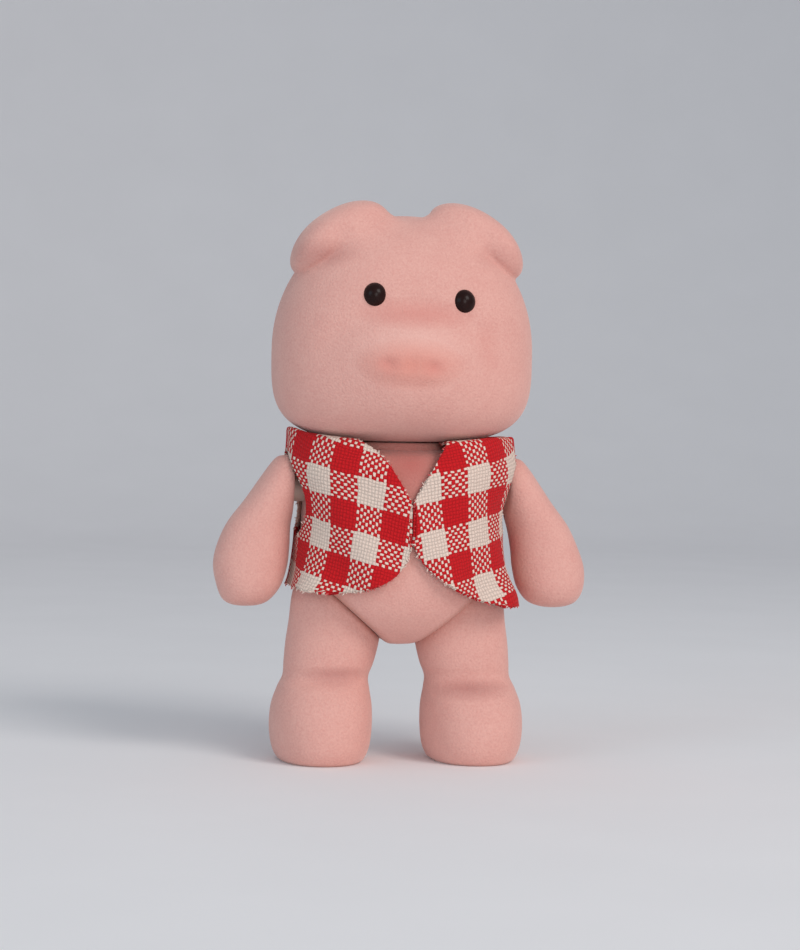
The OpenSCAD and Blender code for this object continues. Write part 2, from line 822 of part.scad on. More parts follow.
module vest() {
    outer = vest_rings(cloth_gap + cloth_t);
    inner = vest_rings(cloth_gap);
    rings = concat(outer, [for (i = [len(inner) - 1 : -1 : 0]) inner[i]]);
    color(cloth) difference() {
        closed_sleeve(rings);
        for (side = [-1, 1]) on_side(side) {
            rotate([90, 0, 0]) linear_extrude(2 * belly_front) polygon(front_cut);
            translate([neckline_half, 0, shoulder_z]) rotate([0, 90, 0]) {
                cylinder(h = body_w, r = armhole_r);
                translate([armhole_drop, 0, 0]) cylinder(h = body_w, r = armhole_r);
                translate([0, -armhole_r, 0]) cube([armhole_drop, 2 * armhole_r, body_w]);
            }
        }
        translate([-body_w, -body_w, hem_z - body_h]) cube([2 * body_w, 2 * body_w, body_h]);
    }
}

// Closes rings both round themselves and from the last back to the first
module closed_sleeve(rings) {
    sides = len(rings[0]);
    count = len(rings);
    polyhedron(
        [for (r = rings, p = r) p],
        [
            for (j = [0 : count - 1], i = [0 : sides - 1])
                let (
                    next = (j + 1) % count * sides,
                    a = j * sides + i,
                    b = j * sides + (i + 1) % sides,
                    c = next + (i + 1) % sides,
                    d = next + i
                )
                each [[a, b, c], [a, c, d]]
        ]
    );
}

torso_front();
torso_back();
tail();
vest();
head_front();
head_back();
ear(-1);  // right_ear
ear(1);  // left_ear
eye(-1);  // right_eye
eye(1);  // left_eye
neck_pin();
arm(-1);  // right_arm
arm(1);  // left_arm
shoulder_pin(-1);  // right_shoulder_pin
shoulder_pin(1);  // left_shoulder_pin
leg(-1);  // right_leg
leg(1);  // left_leg
hip_pin(-1);  // right_hip_pin
hip_pin(1);  // left_hip_pin
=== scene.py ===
# %% [markdown]
# # A flocked toy pig in a gingham vest
#
# The real object is a hard little pig, as tall as a thumb, whose mouldings
# are covered with a short velvety pile, called flock. It wears an open vest
# cut from one piece of red and white gingham. The frame that is loaded here
# holds every hard piece and every joint, so this lesson only makes the
# surfaces that an eye sees: the soft skin, the cloth and the bead eyes.
# Each surface is a formula of two parameters, worked out for the whole grid
# at once, so that it is as smooth as a moulding and can be changed by its
# numbers.

# %% Load the fixed frame
import math

import bpy
import numpy as np
from mathutils import Matrix


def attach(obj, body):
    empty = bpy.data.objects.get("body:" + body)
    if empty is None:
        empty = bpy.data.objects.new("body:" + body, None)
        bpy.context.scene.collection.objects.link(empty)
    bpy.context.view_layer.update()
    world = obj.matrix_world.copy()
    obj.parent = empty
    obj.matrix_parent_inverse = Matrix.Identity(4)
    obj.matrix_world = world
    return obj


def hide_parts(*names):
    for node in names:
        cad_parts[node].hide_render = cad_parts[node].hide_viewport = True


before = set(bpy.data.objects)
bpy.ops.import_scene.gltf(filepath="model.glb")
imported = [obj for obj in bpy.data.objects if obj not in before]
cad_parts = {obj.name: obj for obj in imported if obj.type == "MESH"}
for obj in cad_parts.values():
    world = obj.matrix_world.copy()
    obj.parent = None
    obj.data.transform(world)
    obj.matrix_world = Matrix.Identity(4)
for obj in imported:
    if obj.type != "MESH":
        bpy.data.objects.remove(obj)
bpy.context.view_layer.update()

# %% [markdown]
# ## From a grid of points to a mesh
#
# Every form is worked out in millimetres and becomes metres in one place.
# A grid may close round itself and may shrink to a point at its ends. Points
# that fall together are welded, so poles and seams are closed, and the sign
# of the volume tells whether the faces look outwards.

# %% Make a mesh from a grid
MM = 0.001
WELD = 1e-5
CRISP = math.radians(75)


def weld(points, quads):
    """Merges equal points. A four-sided face that loses one corner stays as
    a triangle, and a face that loses more is dropped."""
    keys = np.round(points / WELD).astype(np.int64)
    _, first, place = np.unique(keys, axis=0, return_index=True, return_inverse=True)
    quads = place.ravel()[quads]
    distinct = quads != np.roll(quads, -1, axis=1)
    whole = quads[distinct.all(axis=1)]
    three = distinct.sum(axis=1) == 3
    triangles = quads[three][distinct[three]].reshape(-1, 3)
    return points[first], whole, triangles


def volume_under(points, triangles):
    """The signed volume of a closed surface: the sum over its triangles of
    a . (b x c) / 6."""
    a, b, c = (points[triangles[:, k]] for k in range(3))
    return float(np.einsum("ij,ij->i", a, np.cross(b, c)).sum() / 6)


def link_object(name, data):
    """Puts data into the scene as an object at the origin."""
    made = bpy.data.objects.new(name, data)
    bpy.context.scene.collection.objects.link(made)
    return made


def mesh_object(name, points, quads, closed=True):
    """Makes a mesh object of points in millimetres and four-sided faces."""
    points, whole, triangles = weld(points.reshape(-1, 3), quads)
    every = np.concatenate([whole[:, :3], whole[:, [0, 2, 3]], triangles])
    if closed and volume_under(points, every) < 0:
        whole, triangles = whole[:, ::-1], triangles[:, ::-1]
    corners = np.concatenate([whole.ravel(), triangles.ravel()])
    sizes = np.concatenate([np.full(len(whole), 4), np.full(len(triangles), 3)])
    starts = np.cumsum(sizes) - sizes
    mesh = bpy.data.meshes.new(name)
    mesh.vertices.add(len(points))
    mesh.vertices.foreach_set("co", (points * MM).ravel())
    mesh.loops.add(len(corners))
    mesh.loops.foreach_set("vertex_index", corners.astype(np.int32))
    mesh.polygons.add(len(sizes))
    mesh.polygons.foreach_set("loop_start", starts.astype(np.int32))
    mesh.update(calc_edges=True)
    mesh.validate()
    mesh.shade_smooth()
    mesh.set_sharp_from_angle(angle=CRISP)
    print(f"{name}: {len(points)} points, {len(sizes)} faces")
    return link_object(name, mesh)


def grid_faces(rows, columns, round_columns=True):
    """Index quads of a grid, whose columns may close on themselves."""
    j = np.arange(rows - 1)[:, None]
    i = np.arange(columns if round_columns else columns - 1)[None, :]
    below, beside = (j + 1) * columns, (i + 1) % columns
    corners = (j * columns + i, j * columns + beside, below + beside, below + i)
    return np.stack(np.broadcast_arrays(*corners), axis=-1).reshape(-1, 4)


# %% [markdown]
# ## Curves that the forms share
#
# A toy like this is carved in soft, slightly square roundings. A
# superellipse gives them: its power 2 is an ellipse, and more is squarer.
# The heights and widths of a body, an arm or a leg come from a short table
# of rows, and a smooth curve runs through the rows.

# %% Rounded outlines and smooth tables
def signed_power(value, power):
    """A value to a power, with its sign kept."""
    return np.sign(value) * np.abs(value) ** power


def bulge(share, power):
    """Height of a rounded outline at a share of its reach:
    (1 - |share|^power)^(1/power)."""
    return np.maximum(0, 1 - np.abs(share) ** power) ** (1 / power)


def smooth_step(low, high, value):
    """0 below low, 1 above high, and 3s^2 - 2s^3 between."""
    s = np.clip((value - low) / (high - low), 0, 1)
    return s * s * (3 - 2 * s)


def full_turn(sides):
    """Turns that step evenly once round."""
    return 2 * np.pi * np.arange(sides) / sides


def along(rows, t):
    """The Catmull-Rom curve through equally spaced rows, at t from 0 to 1."""
    rows = np.asarray(rows, float)
    last = len(rows) - 1
    place = np.clip(t, 0, 1) * last
    i = np.minimum(place.astype(int), last - 1)
    f = (place - i)[:, None]
    a, b = rows[np.maximum(i - 1, 0)], rows[i]
    c, d = rows[i + 1], rows[np.minimum(i + 2, last)]
    square, cube = 2 * a - 5 * b + 4 * c - d, 3 * b - a - 3 * c + d
    return (2 * b + (c - a) * f + square * f**2 + cube * f**3) / 2


def rings(rows, turns, power):
    """Level rings: a row is height, middle, half width, front and back reach.
    A point is middle + half |cos|^(2/power), reach |sin|^(2/power), height."""
    side = signed_power(np.cos(turns), 2 / power)[None, :]
    deep = signed_power(np.sin(turns), 2 / power)[None, :]
    height, middle, half, front, back = rows.T[:, :, None]
    reach = np.where(deep < 0, front, back)
    parts = np.broadcast_arrays(middle + half * side, reach * deep, height)
    return np.stack(parts, axis=-1)


def cut_flat(points, centre, out, soft):
    """Presses what lies beyond a plane flat onto it, along its normal, with
    an edge rounded over the length soft."""
    beyond = (points - np.asarray(centre)) @ np.asarray(out)
    eased = (beyond + soft) ** 2 / (4 * soft)
    push = np.where(beyond <= -soft, 0, np.where(beyond >= soft, beyond, eased))
    return points - push[..., None] * np.asarray(out)


# %% [markdown]
# ## Camera
#
# The photograph is taken from a hand's width or two away, nearly level, a
# little from the pig's right, and the camera is not quite upright. The
# frame is fitted so that the pig fills it as it does in the photograph.

# %% Set the camera
CAMERA_TURN = math.radians(-8.8)
CAMERA_RISE = math.radians(1.6)
CAMERA_ROLL = math.radians(1.0)
CAMERA_AWAY = 280 * MM
CAMERA_AIM = np.array([0.05, 0.0, 33.2]) * MM
FRAME_H = 950
FOCAL_PIXELS = 2395
SENSOR = 36.0


def placed(right, up, back, place):
    """The matrix of a camera or a lamp from its three directions."""
    columns = np.column_stack([right, up, back, place])
    return Matrix([*columns.tolist(), [0, 0, 0, 1]])


def make_camera():
    """A camera on a sphere round the aim, rolled about its own line of sight."""
    back = np.array([
        math.sin(CAMERA_TURN) * math.cos(CAMERA_RISE),
        -math.cos(CAMERA_TURN) * math.cos(CAMERA_RISE),
        math.sin(CAMERA_RISE),
    ])
    right = np.array([math.cos(CAMERA_TURN), math.sin(CAMERA_TURN), 0])
    up = np.cross(back, right)
    right = right * math.cos(CAMERA_ROLL) + up * math.sin(CAMERA_ROLL)
    data = bpy.data.cameras.new("camera")
    data.sensor_fit = "VERTICAL"
    data.sensor_height = SENSOR
    data.lens = FOCAL_PIXELS / FRAME_H * SENSOR
    data.clip_start, data.clip_end = 1 * MM, 10
    camera = link_object("camera", data)
    place = CAMERA_AIM + back * CAMERA_AWAY
    camera.matrix_world = placed(right, np.cross(back, right), back, place)
    bpy.context.scene.camera = camera
    print("camera height in mm:", round(place[2] / MM, 1))


make_camera()

# %% [markdown]
# ## Small helpers for shader nodes
#
# Materials are trees of nodes. A few helpers keep their making short: one
# adds a node and fills its sockets, and others stand for the nodes that
# every finish here needs, such as a noise or the mix of two colours.

# %% Helpers for nodes, groups and materials
SURFACE_OUTPUTS = [
    ("Colour", "NodeSocketColor"),
    ("Height", "NodeSocketFloat"),
    ("Roughness", "NodeSocketFloat"),
]


def linear(red, green, blue):
    """A colour that is written in the usual 0 to 255 steps, made linear."""
    steps = np.array([red, green, blue]) / 255
    values = np.where(steps <= 0.04045, steps / 12.92, ((steps + 0.055) / 1.055) ** 2.4)
    return (*values.tolist(), 1.0)


def plug(tree, sockets, values):
    """Links each socket to its source, or writes a plain value into it."""
    for key, value in values.items():
        if isinstance(value, bpy.types.NodeSocket):
            tree.links.new(value, sockets[key])
        else:
            sockets[key].default_value = value


def node(tree, kind, values=None, **settings):
    """Adds a node, sets its properties, and fills its sockets, which are
    given by name or number."""
    made = tree.nodes.new(kind)
    for key, value in settings.items():
        setattr(made, key, value)
    plug(tree, made.inputs, values or {})
    return made


def math_node(tree, operation, *values, clamp=False):
    """One step of arithmetic on numbers or sockets."""
    values = dict(enumerate(values))
    return node(tree, "ShaderNodeMath", values, operation=operation, use_clamp=clamp).outputs[0]


def mix_value(tree, amount, first, second):
    """Two numbers blended: first (1 - amount) + second amount."""
    return node(tree, "ShaderNodeMix", {0: amount, 2: first, 3: second}).outputs[0]


def mix_colour(tree, amount, first, second, blend="MIX"):
    """Two colours blended as numbers are, or by another rule that blend names."""
    values = {0: amount, 6: first, 7: second}
    return node(tree, "ShaderNodeMix", values, data_type="RGBA", blend_type=blend).outputs[2]


def object_place(tree):
    """Where a point lies in its own object, in metres."""
    return node(tree, "ShaderNodeTexCoord").outputs["Object"]


def noise(tree, place, scale, detail, **more):
    """A cloudy value round a half, which is finer where the scale is larger."""
    values = {"Vector": place, "Scale": scale, "Detail": detail, **more}
    return node(tree, "ShaderNodeTexNoise", values).outputs["Fac"]


def bumped(tree, height, shade_and_tone, distance):
    """The normal of a surface that a height lifts by a distance in metres."""
    values = {"Height": height, "Strength": shade_and_tone, "Distance": distance}
    return node(tree, "ShaderNodeBump", values).outputs["Normal"]


def new_group(name, inputs, outputs=SURFACE_OUTPUTS):
    """An empty shader group with named sockets, and its two end nodes."""
    group = bpy.data.node_groups.new(name, "ShaderNodeTree")
    for label, kind, value in inputs:
        socket = group.interface.new_socket(label, in_out="INPUT", socket_type=kind)
        if value is not None:
            socket.default_value = value
    for label, kind in outputs:
        group.interface.new_socket(label, in_out="OUTPUT", socket_type=kind)
    return group, group.nodes.new("NodeGroupInput"), group.nodes.new("NodeGroupOutput")


def new_material(name):
    """A material, its tree and its Principled shader."""
    material = bpy.data.materials.new(name)
    material.use_nodes = True
    tree = material.node_tree
    return material, tree, tree.nodes["Principled BSDF"]


# %% [markdown]
# ## Flock
#
# Flock is a coat of fibres half a millimetre long, all standing on end. Up
# close it shows as a fine stipple, with soft patches where the fibres lean
# another way. Both are small and all alike, so they are colour and bump,
# not geometry. They go into a group, because every skin piece uses them.

# %% Flock: fine stipple and leaning patches
SKIN, SKIN_DEEP = linear(230, 174, 162), linear(206, 134, 126)
PILE_SCALE, PATCH_SCALE, FLOCK_CONTRAST = 4200.0, 330.0, 0.42


def make_flock_group():
    """Two noises: a patchy one turns the colour a little lighter or darker,
    and a fine one gives each tuft its own tone and height."""
    group, start, end = new_group("flock_pile", [
        ("Colour", "NodeSocketColor", SKIN),
        ("Deep Colour", "NodeSocketColor", SKIN_DEEP),
        ("Pile Scale", "NodeSocketFloat", PILE_SCALE),
        ("Patch Scale", "NodeSocketFloat", PATCH_SCALE),
        ("Contrast", "NodeSocketFloat", FLOCK_CONTRAST),
    ])
    given = start.outputs
    place = object_place(group)
    pile = noise(group, place, given["Pile Scale"], 2.0, Roughness=0.6)
    tuft = node(group, "ShaderNodeTexVoronoi", {
        "Vector": place, "Scale": given["Pile Scale"], "Randomness": 1.0,
    }).outputs["Distance"]
    patch = noise(group, place, given["Patch Scale"], 3.0, Roughness=0.55, Distortion=0.4)
    fine = math_node(group, "SUBTRACT", pile, 0.5)
    broad = math_node(group, "SUBTRACT", patch, 0.5)
    shade = math_node(group, "MULTIPLY_ADD", fine, 2.6, math_node(group, "MULTIPLY", broad, 0.9))
    lean = math_node(group, "MULTIPLY_ADD", shade, given["Contrast"], 0.16, clamp=True)
    plug(group, end.inputs, {
        "Colour": mix_colour(group, lean, given["Colour"], given["Deep Colour"]),
        "Height": math_node(group, "MULTIPLY_ADD", tuft, -0.6, pile),
        "Roughness": math_node(group, "MULTIPLY_ADD", broad, 0.15, 0.9, clamp=True),
    })
    return group


flock_pile = make_flock_group()


def soft_spot(tree, centre, size, soft):
    """A mask round a place, in millimetres: 1 in the middle and 0 at the
    edge of an ellipsoid with the half sizes given."""
    moved = node(tree, "ShaderNodeMapping", {
        "Vector": object_place(tree),
        "Location": [c * MM for c in centre],
        "Scale": [s * MM for s in size],
    }, vector_type="TEXTURE")
    ball = node(
        tree, "ShaderNodeTexGradient", {"Vector": moved.outputs[0]}, gradient_type="SPHERICAL"
    )
    return math_node(tree, "POWER", ball.outputs["Fac"], soft)


def flock_material(name, spots=()):
    """A flocked skin: matt, with a sheen at grazing angles as short pile has.
    Spots are (centre, half sizes, softness, strength, colour)."""
    material, tree, shader = new_material(name)
    pile = node(tree, "ShaderNodeGroup", node_tree=flock_pile).outputs
    skin = pile["Colour"]
    for centre, size, soft, shade_and_tone, tint in spots:
        mask = math_node(tree, "MULTIPLY", soft_spot(tree, centre, size, soft), shade_and_tone)
        skin = mix_colour(tree, mask, skin, tint)
    plug(tree, shader.inputs, {
        "Base Color": skin,
        "Roughness": pile["Roughness"],
        "Normal": bumped(tree, pile["Height"], 0.65, 0.00009),
        "Sheen Weight": 0.42,
        "Sheen Roughness": 0.45,
        "Sheen Tint": (1.0, 0.82, 0.76, 1.0),
        "Specular IOR Level": 0.15,
    })
    return material


body_skin = flock_material("flocked_body")
print("flock material ready")

# %% [markdown]
# ## Head
#
# The head is a broad dome with flat cheeks, wider below than above, and it
# is moulded as a front and a back shell. Its depth at any place of the face
# is known from the height and the distance from the middle, so the face is
# a relief over its own outline: a soft muzzle, the nose on it, and a
# shallow valley under the brow.

# %% Measures and plain form of the head
CHEEK_Z, CHEEK_H, CROWN_H = 47.4, 10.3, 15.9
HEAD_HALF = 15.1
FACE_REACH, NAPE_REACH = 11.6, 13.2
CROWN_POWER, CHIN_POWER, FACE_POWER = 2.1, 3.6, 2.5
SHELL_WALL = 1.5
TINY = 1e-6


def head_profile(z, grow, top_power):
    """Share of the full reach that the head has at a height: the crown's
    rounding above its widest place, and the chin's below."""
    up = z > CHEEK_Z
    share = np.where(up, (z - CHEEK_Z) / (CROWN_H + grow), (CHEEK_Z - z) / (CHEEK_H + grow))
    return np.where(up, bulge(share, top_power), bulge(share, CHIN_POWER))


def head_half_at(z, grow=0.0):
    """Half width of the head at a height."""
    return (HEAD_HALF + grow) * head_profile(z, grow, CROWN_POWER)


def head_deep_at(z, grow, side):
    """Reach of the head in front (side -1) or behind (side 1) at a height."""
    reach, top_power = (FACE_REACH, FACE_POWER) if side < 0 else (NAPE_REACH, CROWN_POWER)
    return (reach + grow) * head_profile(z, grow, top_power)


def head_surface(x, z, grow=0.0, side=-1):
    """Depth of the head's surface: reach at that height times the bulge of
    the share of the half width."""
    half = np.maximum(head_half_at(z, grow), TINY)
    return head_deep_at(z, grow, side) * bulge(np.minimum(np.abs(x) / half, 1), FACE_POWER)


def head_outline(turns, grow=0.0):
    """The head's outline from the front, as places x, z."""
    up = np.sin(turns) > 0
    power = np.where(up, CROWN_POWER, CHIN_POWER)
    tall = np.where(up, CROWN_H, CHEEK_H) + grow
    x = (HEAD_HALF + grow) * signed_power(np.cos(turns), 2 / power)
    return np.stack([x, CHEEK_Z + tall * signed_power(np.sin(turns), 2 / power)], axis=-1)


# %% [markdown]
# ## Face
#
# The face of the real pig isn't set quite straight: it is turned by a few
# degrees and lies a little to one side. So the features are worked out for
# a straight face, and two small functions lead from one to the other.

# %% Muzzle, nose and nostrils as a relief
FACE_SHIFT, FACE_TILT = -0.4, math.radians(3)
MUZZLE_W, MUZZLE_TALL, MUZZLE_RISE = 18.0, 12.4, 1.5
NOSE_X, NOSE_Z, NOSE_W, NOSE_TALL, NOSE_RISE = -0.4, 45.85, 8.2, 3.3, 0.38
NOSE_POWER = 2.7
NOSTRIL_X, NOSTRIL_Z, NOSTRIL_R = 2.6, 45.75, 0.9
NOSTRIL_DEEP, VALLEY_DEEP, GROOVE_DEEP = 0.3, 0.3, 0.12
TURN, KEEP = math.sin(FACE_TILT), math.cos(FACE_TILT)


def on_face(x, z):
    """A place of the straight face, shifted and turned as the real one is."""
    across, up = x + FACE_SHIFT, z - CHEEK_Z
    return across * KEEP + up * TURN, CHEEK_Z + up * KEEP - across * TURN


def off_face(x, z):
    """The way back to the straight face."""
    up = z - CHEEK_Z
    return x * KEEP - up * TURN - FACE_SHIFT, CHEEK_Z + up * KEEP + x * TURN


def nose_share(x, z):
    """1 on the outline of the nose, less inside and more outside."""
    across, up = np.abs(2 * (x - NOSE_X) / NOSE_W), np.abs(2 * (z - NOSE_Z) / NOSE_TALL)
    return (across**NOSE_POWER + up**NOSE_POWER) ** (1 / NOSE_POWER)


def face_relief(x, z):
    """How far the face stands out of the head's plain form: the muzzle's
    dome, which melts into the chin, the shallow valley over and beside it,
    the nose with its soft brim, two nostrils and a faint groove between."""
    x, z = off_face(x, z)
    up = (z - NOSE_Z) / (MUZZLE_TALL / 2)
    ring = np.hypot(2 * x / MUZZLE_W, np.where(up < 0, 0.72, 1.0) * up)
    muzzle = MUZZLE_RISE * np.exp(-(1.3 * ring) ** 2.6)
    valley = VALLEY_DEEP * np.exp(-(((ring - 1.04) / 0.2) ** 2)) * smooth_step(-0.35, 0.7, up)
    nose = NOSE_RISE * smooth_step(1.6, 0.55, nose_share(x, z))
    across = x - NOSE_X
    holes = 0.0
    for side in (-1, 1):
        beside, over = (across - side * NOSTRIL_X) / NOSTRIL_R, (z - NOSTRIL_Z) / (0.8 * NOSTRIL_R)
        holes = holes + NOSTRIL_DEEP * np.exp(-(beside**2) - over**2)
    groove = GROOVE_DEEP * np.exp(-((across / 0.8) ** 2) - ((z - NOSE_Z) / 1.3) ** 2)
    return muzzle + nose - holes - groove - valley


# %% [markdown]
# ## Ears as one skin with the head
#
# Each ear is a thick rounded lobe laid over a top corner of the head. Under
# its outer end there is a crease, but towards the forehead the flock runs
# on without a step. Both come from one smooth union: the distances to the
# head and to the ear are blended, and every grid point near the join is
# slid onto the surface where the blend is zero.

# %% The ear's form and the smooth union
EAR_START, EAR_END = math.radians(81), math.radians(33)
EAR_THICK, EAR_W, EAR_FRONT = 2.7, 4.7, 2.6
EAR_POWER = 2.5
HALVINGS, SLIDES = 30, 4
PROBE = 0.02
CREASE_SOFT, BACK_SOFT, FRONT_SOFT = 0.5, 0.35, 2.4
JOIN_LOW_Z, JOIN_MIDDLE, JOIN_FRONT, JOIN_BACK = 52, 0.2, -10.5, 5


def ear_frame(p):
    """Local shares of a point on the left side: along the lobe from -1 to 1,
    across it and out of the head."""
    x, y, z = p[..., 0], p[..., 1], p[..., 2]
    u = np.maximum(x, 1e-3) / HEAD_HALF
    v = np.maximum(z - CHEEK_Z, 1e-3) / CROWN_H
    level = (u**CROWN_POWER + v**CROWN_POWER) ** (1 / CROWN_POWER)
    turn = np.arctan2(v ** (CROWN_POWER / 2), u ** (CROWN_POWER / 2))
    radius = np.hypot(x, z - CHEEK_Z)
    a = 2 * (EAR_START - turn) / (EAR_START - EAR_END) - 1
    out = (1 - 1 / level) * radius
    return a, y + EAR_FRONT, out


def ear_half_width(a):
    """The lobe is a little broader beyond its middle than near the crown."""
    return EAR_W * (1 + 0.10 * np.clip(a, -1, 1))


def ear_half_thick(a):
    """The lobe thins towards its outer end."""
    return EAR_THICK * (1 - 0.18 * np.clip(a, 0, 1) ** 2)


def ear_level(p):
    """1 on the lobe's surface, less inside and more outside."""
    a, across, out = ear_frame(p)
    total = np.abs(a) ** EAR_POWER + np.abs(across / ear_half_width(a)) ** EAR_POWER
    return (total + np.abs(out / ear_half_thick(a)) ** EAR_POWER) ** (1 / EAR_POWER)


def head_level(p):
    """1 on the head's plain surface, less inside and more outside: the
    number by which the point's arm from the head's middle is too long,
    found by halving."""
    middle = np.array([0, 0, CHEEK_Z])
    arm = p - middle
    low, high = np.full(p.shape[:-1], 0.3), np.full(p.shape[:-1], 4.0)
    for _ in range(HALVINGS):
        level = (low + high) / 2
        q = middle + arm / level[..., None]
        z = np.minimum(q[..., 2], CHEEK_Z + CROWN_H)
        side_deep = np.where(q[..., 1] < 0, head_deep_at(z, 0, -1), head_deep_at(z, 0, 1))
        half, deep = np.maximum(head_half_at(z), TINY), np.maximum(side_deep, TINY)
        ring = np.abs(q[..., 0] / half) ** FACE_POWER + np.abs(q[..., 1] / deep) ** FACE_POWER
        outside = (ring > 1) | (q[..., 2] > CHEEK_Z + CROWN_H)
        low, high = np.where(outside, level, low), np.where(outside, high, level)
    return (low + high) / 2


def slope_of(value, p):
    """The slope of a value at points, from differences over a small probe."""
    steps = PROBE * np.eye(3)
    return np.stack([(value(p + s) - value(p - s)) / (2 * PROBE) for s in steps], axis=-1)


def distance_and_slope(level, p):
    """Distance to where a level is 1, and the unit direction away from it."""
    slope = slope_of(level, p)
    steep = np.linalg.norm(slope, axis=-1)
    return (level(p) - 1) / steep, slope / steep[..., None]


def join_softness(p):
    """The blend's radius: small in the crease under an ear's outer end,
    modest behind, and wide where the ear runs into the forehead."""
    a, across, _ = ear_frame(p)
    inner = smooth_step(0.45, -0.35, a)
    front = smooth_step(1.0, -3.5, across)
    return CREASE_SOFT + inner * (BACK_SOFT + FRONT_SOFT * front)


def slide_to_union(points):
    """Slides points onto the smooth union of head and ears. The two
    distances d and e blend as m - k h (1 - h), where h goes from 0 to 1 as
    d falls below e and k is the softness of the join. Gives the points, and
    how far they lay from the head and from the ear at first."""
    p = points.astype(float)
    side = np.where(p[:, 0] < 0, -1.0, 1.0)
    p[:, 0] *= side
    for slide in range(SLIDES):
        head, head_way = distance_and_slope(head_level, p)
        ear, ear_way = distance_and_slope(ear_level, p)
        if slide == 0:
            at_first = head, ear
        soft = join_softness(p)
        h = np.clip(0.5 + 0.5 * (ear - head) / soft, 0, 1)
        gap = ear * (1 - h) + head * h - soft * h * (1 - h)
        way = head_way * h[:, None] + ear_way * (1 - h)[:, None]
        p = p - gap[:, None] * way / np.maximum((way**2).sum(axis=1), 0.3)[:, None]
    p[:, 0] *= side
    return p, *at_first


def join_head_to_ears(points):
    """Lifts the head's skin near the ears onto the union, and leaves what
    lies under an ear a little below it."""
    flat = points.reshape(-1, 3).copy()
    x, y, z = np.abs(flat[:, 0]), flat[:, 1], flat[:, 2]
    near = (z > JOIN_LOW_Z) & (x > JOIN_MIDDLE) & (y > JOIN_FRONT) & (y < JOIN_BACK)
    moved, _, ear = slide_to_union(flat[near])
    keep = smooth_step(-1.0, 0.0, ear)[:, None] * smooth_step(4.0, 3.0, ear)[:, None]
    flat[near] += keep * (moved - flat[near])
    return flat.reshape(points.shape)


def ear_points(rows=110, sides=150):
    """A lobe along the crown's outline: a superellipsoid in the frame of the
    outline, joined to the head."""
    a = -np.cos(np.pi * np.linspace(0, 1, rows))[:, None]
    turn = full_turn(sides)[None, :]
    ring = bulge(a, EAR_POWER)
    across = ear_half_width(a) * ring * signed_power(np.cos(turn), 2 / EAR_POWER)
    out = ear_half_thick(a) * ring * signed_power(np.sin(turn), 2 / EAR_POWER)
    rim = head_outline(EAR_START + (EAR_END - EAR_START) * (a + 1) / 2) - np.array([0, CHEEK_Z])
    stretch = 1 + out / np.linalg.norm(rim, axis=-1)
    x, z = rim[..., 0] * stretch, CHEEK_Z + rim[..., 1] * stretch
    flat = np.stack(np.broadcast_arrays(x, across - EAR_FRONT, z), axis=-1).reshape(-1, 3)
    moved, head, _ = slide_to_union(flat)
    keep = smooth_step(-1.0, 0.0, head)[:, None]
    return (flat + keep * (moved - flat)).reshape(rows, sides, 3)


# %% [markdown]
# ## The two shells of the head
#
# A shell is a wall: its outer side is the face or the nape, and its inner
# side is the same form made smaller. The rings of the face run out from the
# nose to the seam, which keeps the grid fine where the detail is, and the
# nape's run out from its middle.

# %% Rings of the shells, from the middle to the seam and back inside
FACE_SIDES = 360
NOSE_BRIM = 1.4
INNER_SHARES = np.array([1, 0.985, 0.93, 0.82, 0.66, 0.46, 0.24, 0])[:, None, None]
HEAD_CORE = np.array([0, CHEEK_Z])
HEAD_TURN = full_turn(FACE_SIDES)


def depth_rings(places, share, grow, side, relief=False):
    """Points over places x, z of one side of the head, with the seam's own
    ring laid exactly on the seam."""
    x, z = places[..., 0], places[..., 1]
    deep = head_surface(x, z, grow, side)
    if relief:
        deep = deep + face_relief(x, z) * smooth_step(0, 0.25, deep / FACE_REACH)
    y = np.where(share[..., 0] >= 1, 0, side * deep)
    return np.stack([x, y, z], axis=-1)


def hollow_rings(side):
    """The inner side of a shell's wall."""
    rim = head_outline(HEAD_TURN, -SHELL_WALL)
    places = HEAD_CORE + INNER_SHARES * (rim - HEAD_CORE)
    return depth_rings(places, INNER_SHARES, -SHELL_WALL, side)


def rim_shares(count):
    """Shares that crowd towards the seam, as the sine of even steps."""
    return np.sin(np.pi / 2 * np.linspace(0, 1, count))[:, None, None]


def face_points():
    """Front shell: rings inside the nose's brim, rings from there to the
    seam, and the rings of the hollow inside."""
    middle = np.array([0, NOSE_Z])
    brim = np.stack([
        NOSE_W / 2 * signed_power(np.cos(HEAD_TURN), 2 / NOSE_POWER),
        NOSE_TALL / 2 * signed_power(np.sin(HEAD_TURN), 2 / NOSE_POWER),
    ], axis=-1) * NOSE_BRIM
    inner = np.linspace(0, 1, 44)[:-1, None, None]
    share = rim_shares(120)
    near = middle + brim * inner
    far = middle + brim + share * (head_outline(HEAD_TURN) - middle - brim)
    places, shares = np.concatenate([near, far]), np.concatenate([0 * inner, share])
    face = depth_rings(places, shares, 0, -1, relief=True)
    return np.concatenate([join_head_to_ears(face), hollow_rings(-1)])


def nape_points():
    """Back shell: rings from the middle of the back of the head to the
    seam, and the hollow inside."""
    share = rim_shares(130)
    places = HEAD_CORE + share * (head_outline(HEAD_TURN) - HEAD_CORE)
    outside = depth_rings(places, share, 0, 1)
    return np.concatenate([join_head_to_ears(outside), hollow_rings(1)])


# %% [markdown]
# ## The skin of the head
#
# On the real pig the nose is a little deeper in colour, because the flock is
# thinner there. The nostrils, the creases round the muzzle and the folds
# under the ears get painted shade, and the muzzle's top a painted highlight.
# Soft spots of tint, each an ellipsoid with a blurred edge, are enough for that.

# %% Tints of the face, and the pieces of the head
# Colours of the face: the nose's own deeper tone, painted shade for hollows and folds, and a
# painted highlight
NOSE_TINT, HOLLOW_SHADE_TINT = linear(222, 138, 122), linear(214, 134, 124)
FOLD_SHADE_TINT, MUZZLE_HIGHLIGHT_TINT = linear(178, 118, 112), linear(240, 192, 180)
FACE_FRONT = -(FACE_REACH + MUZZLE_RISE)


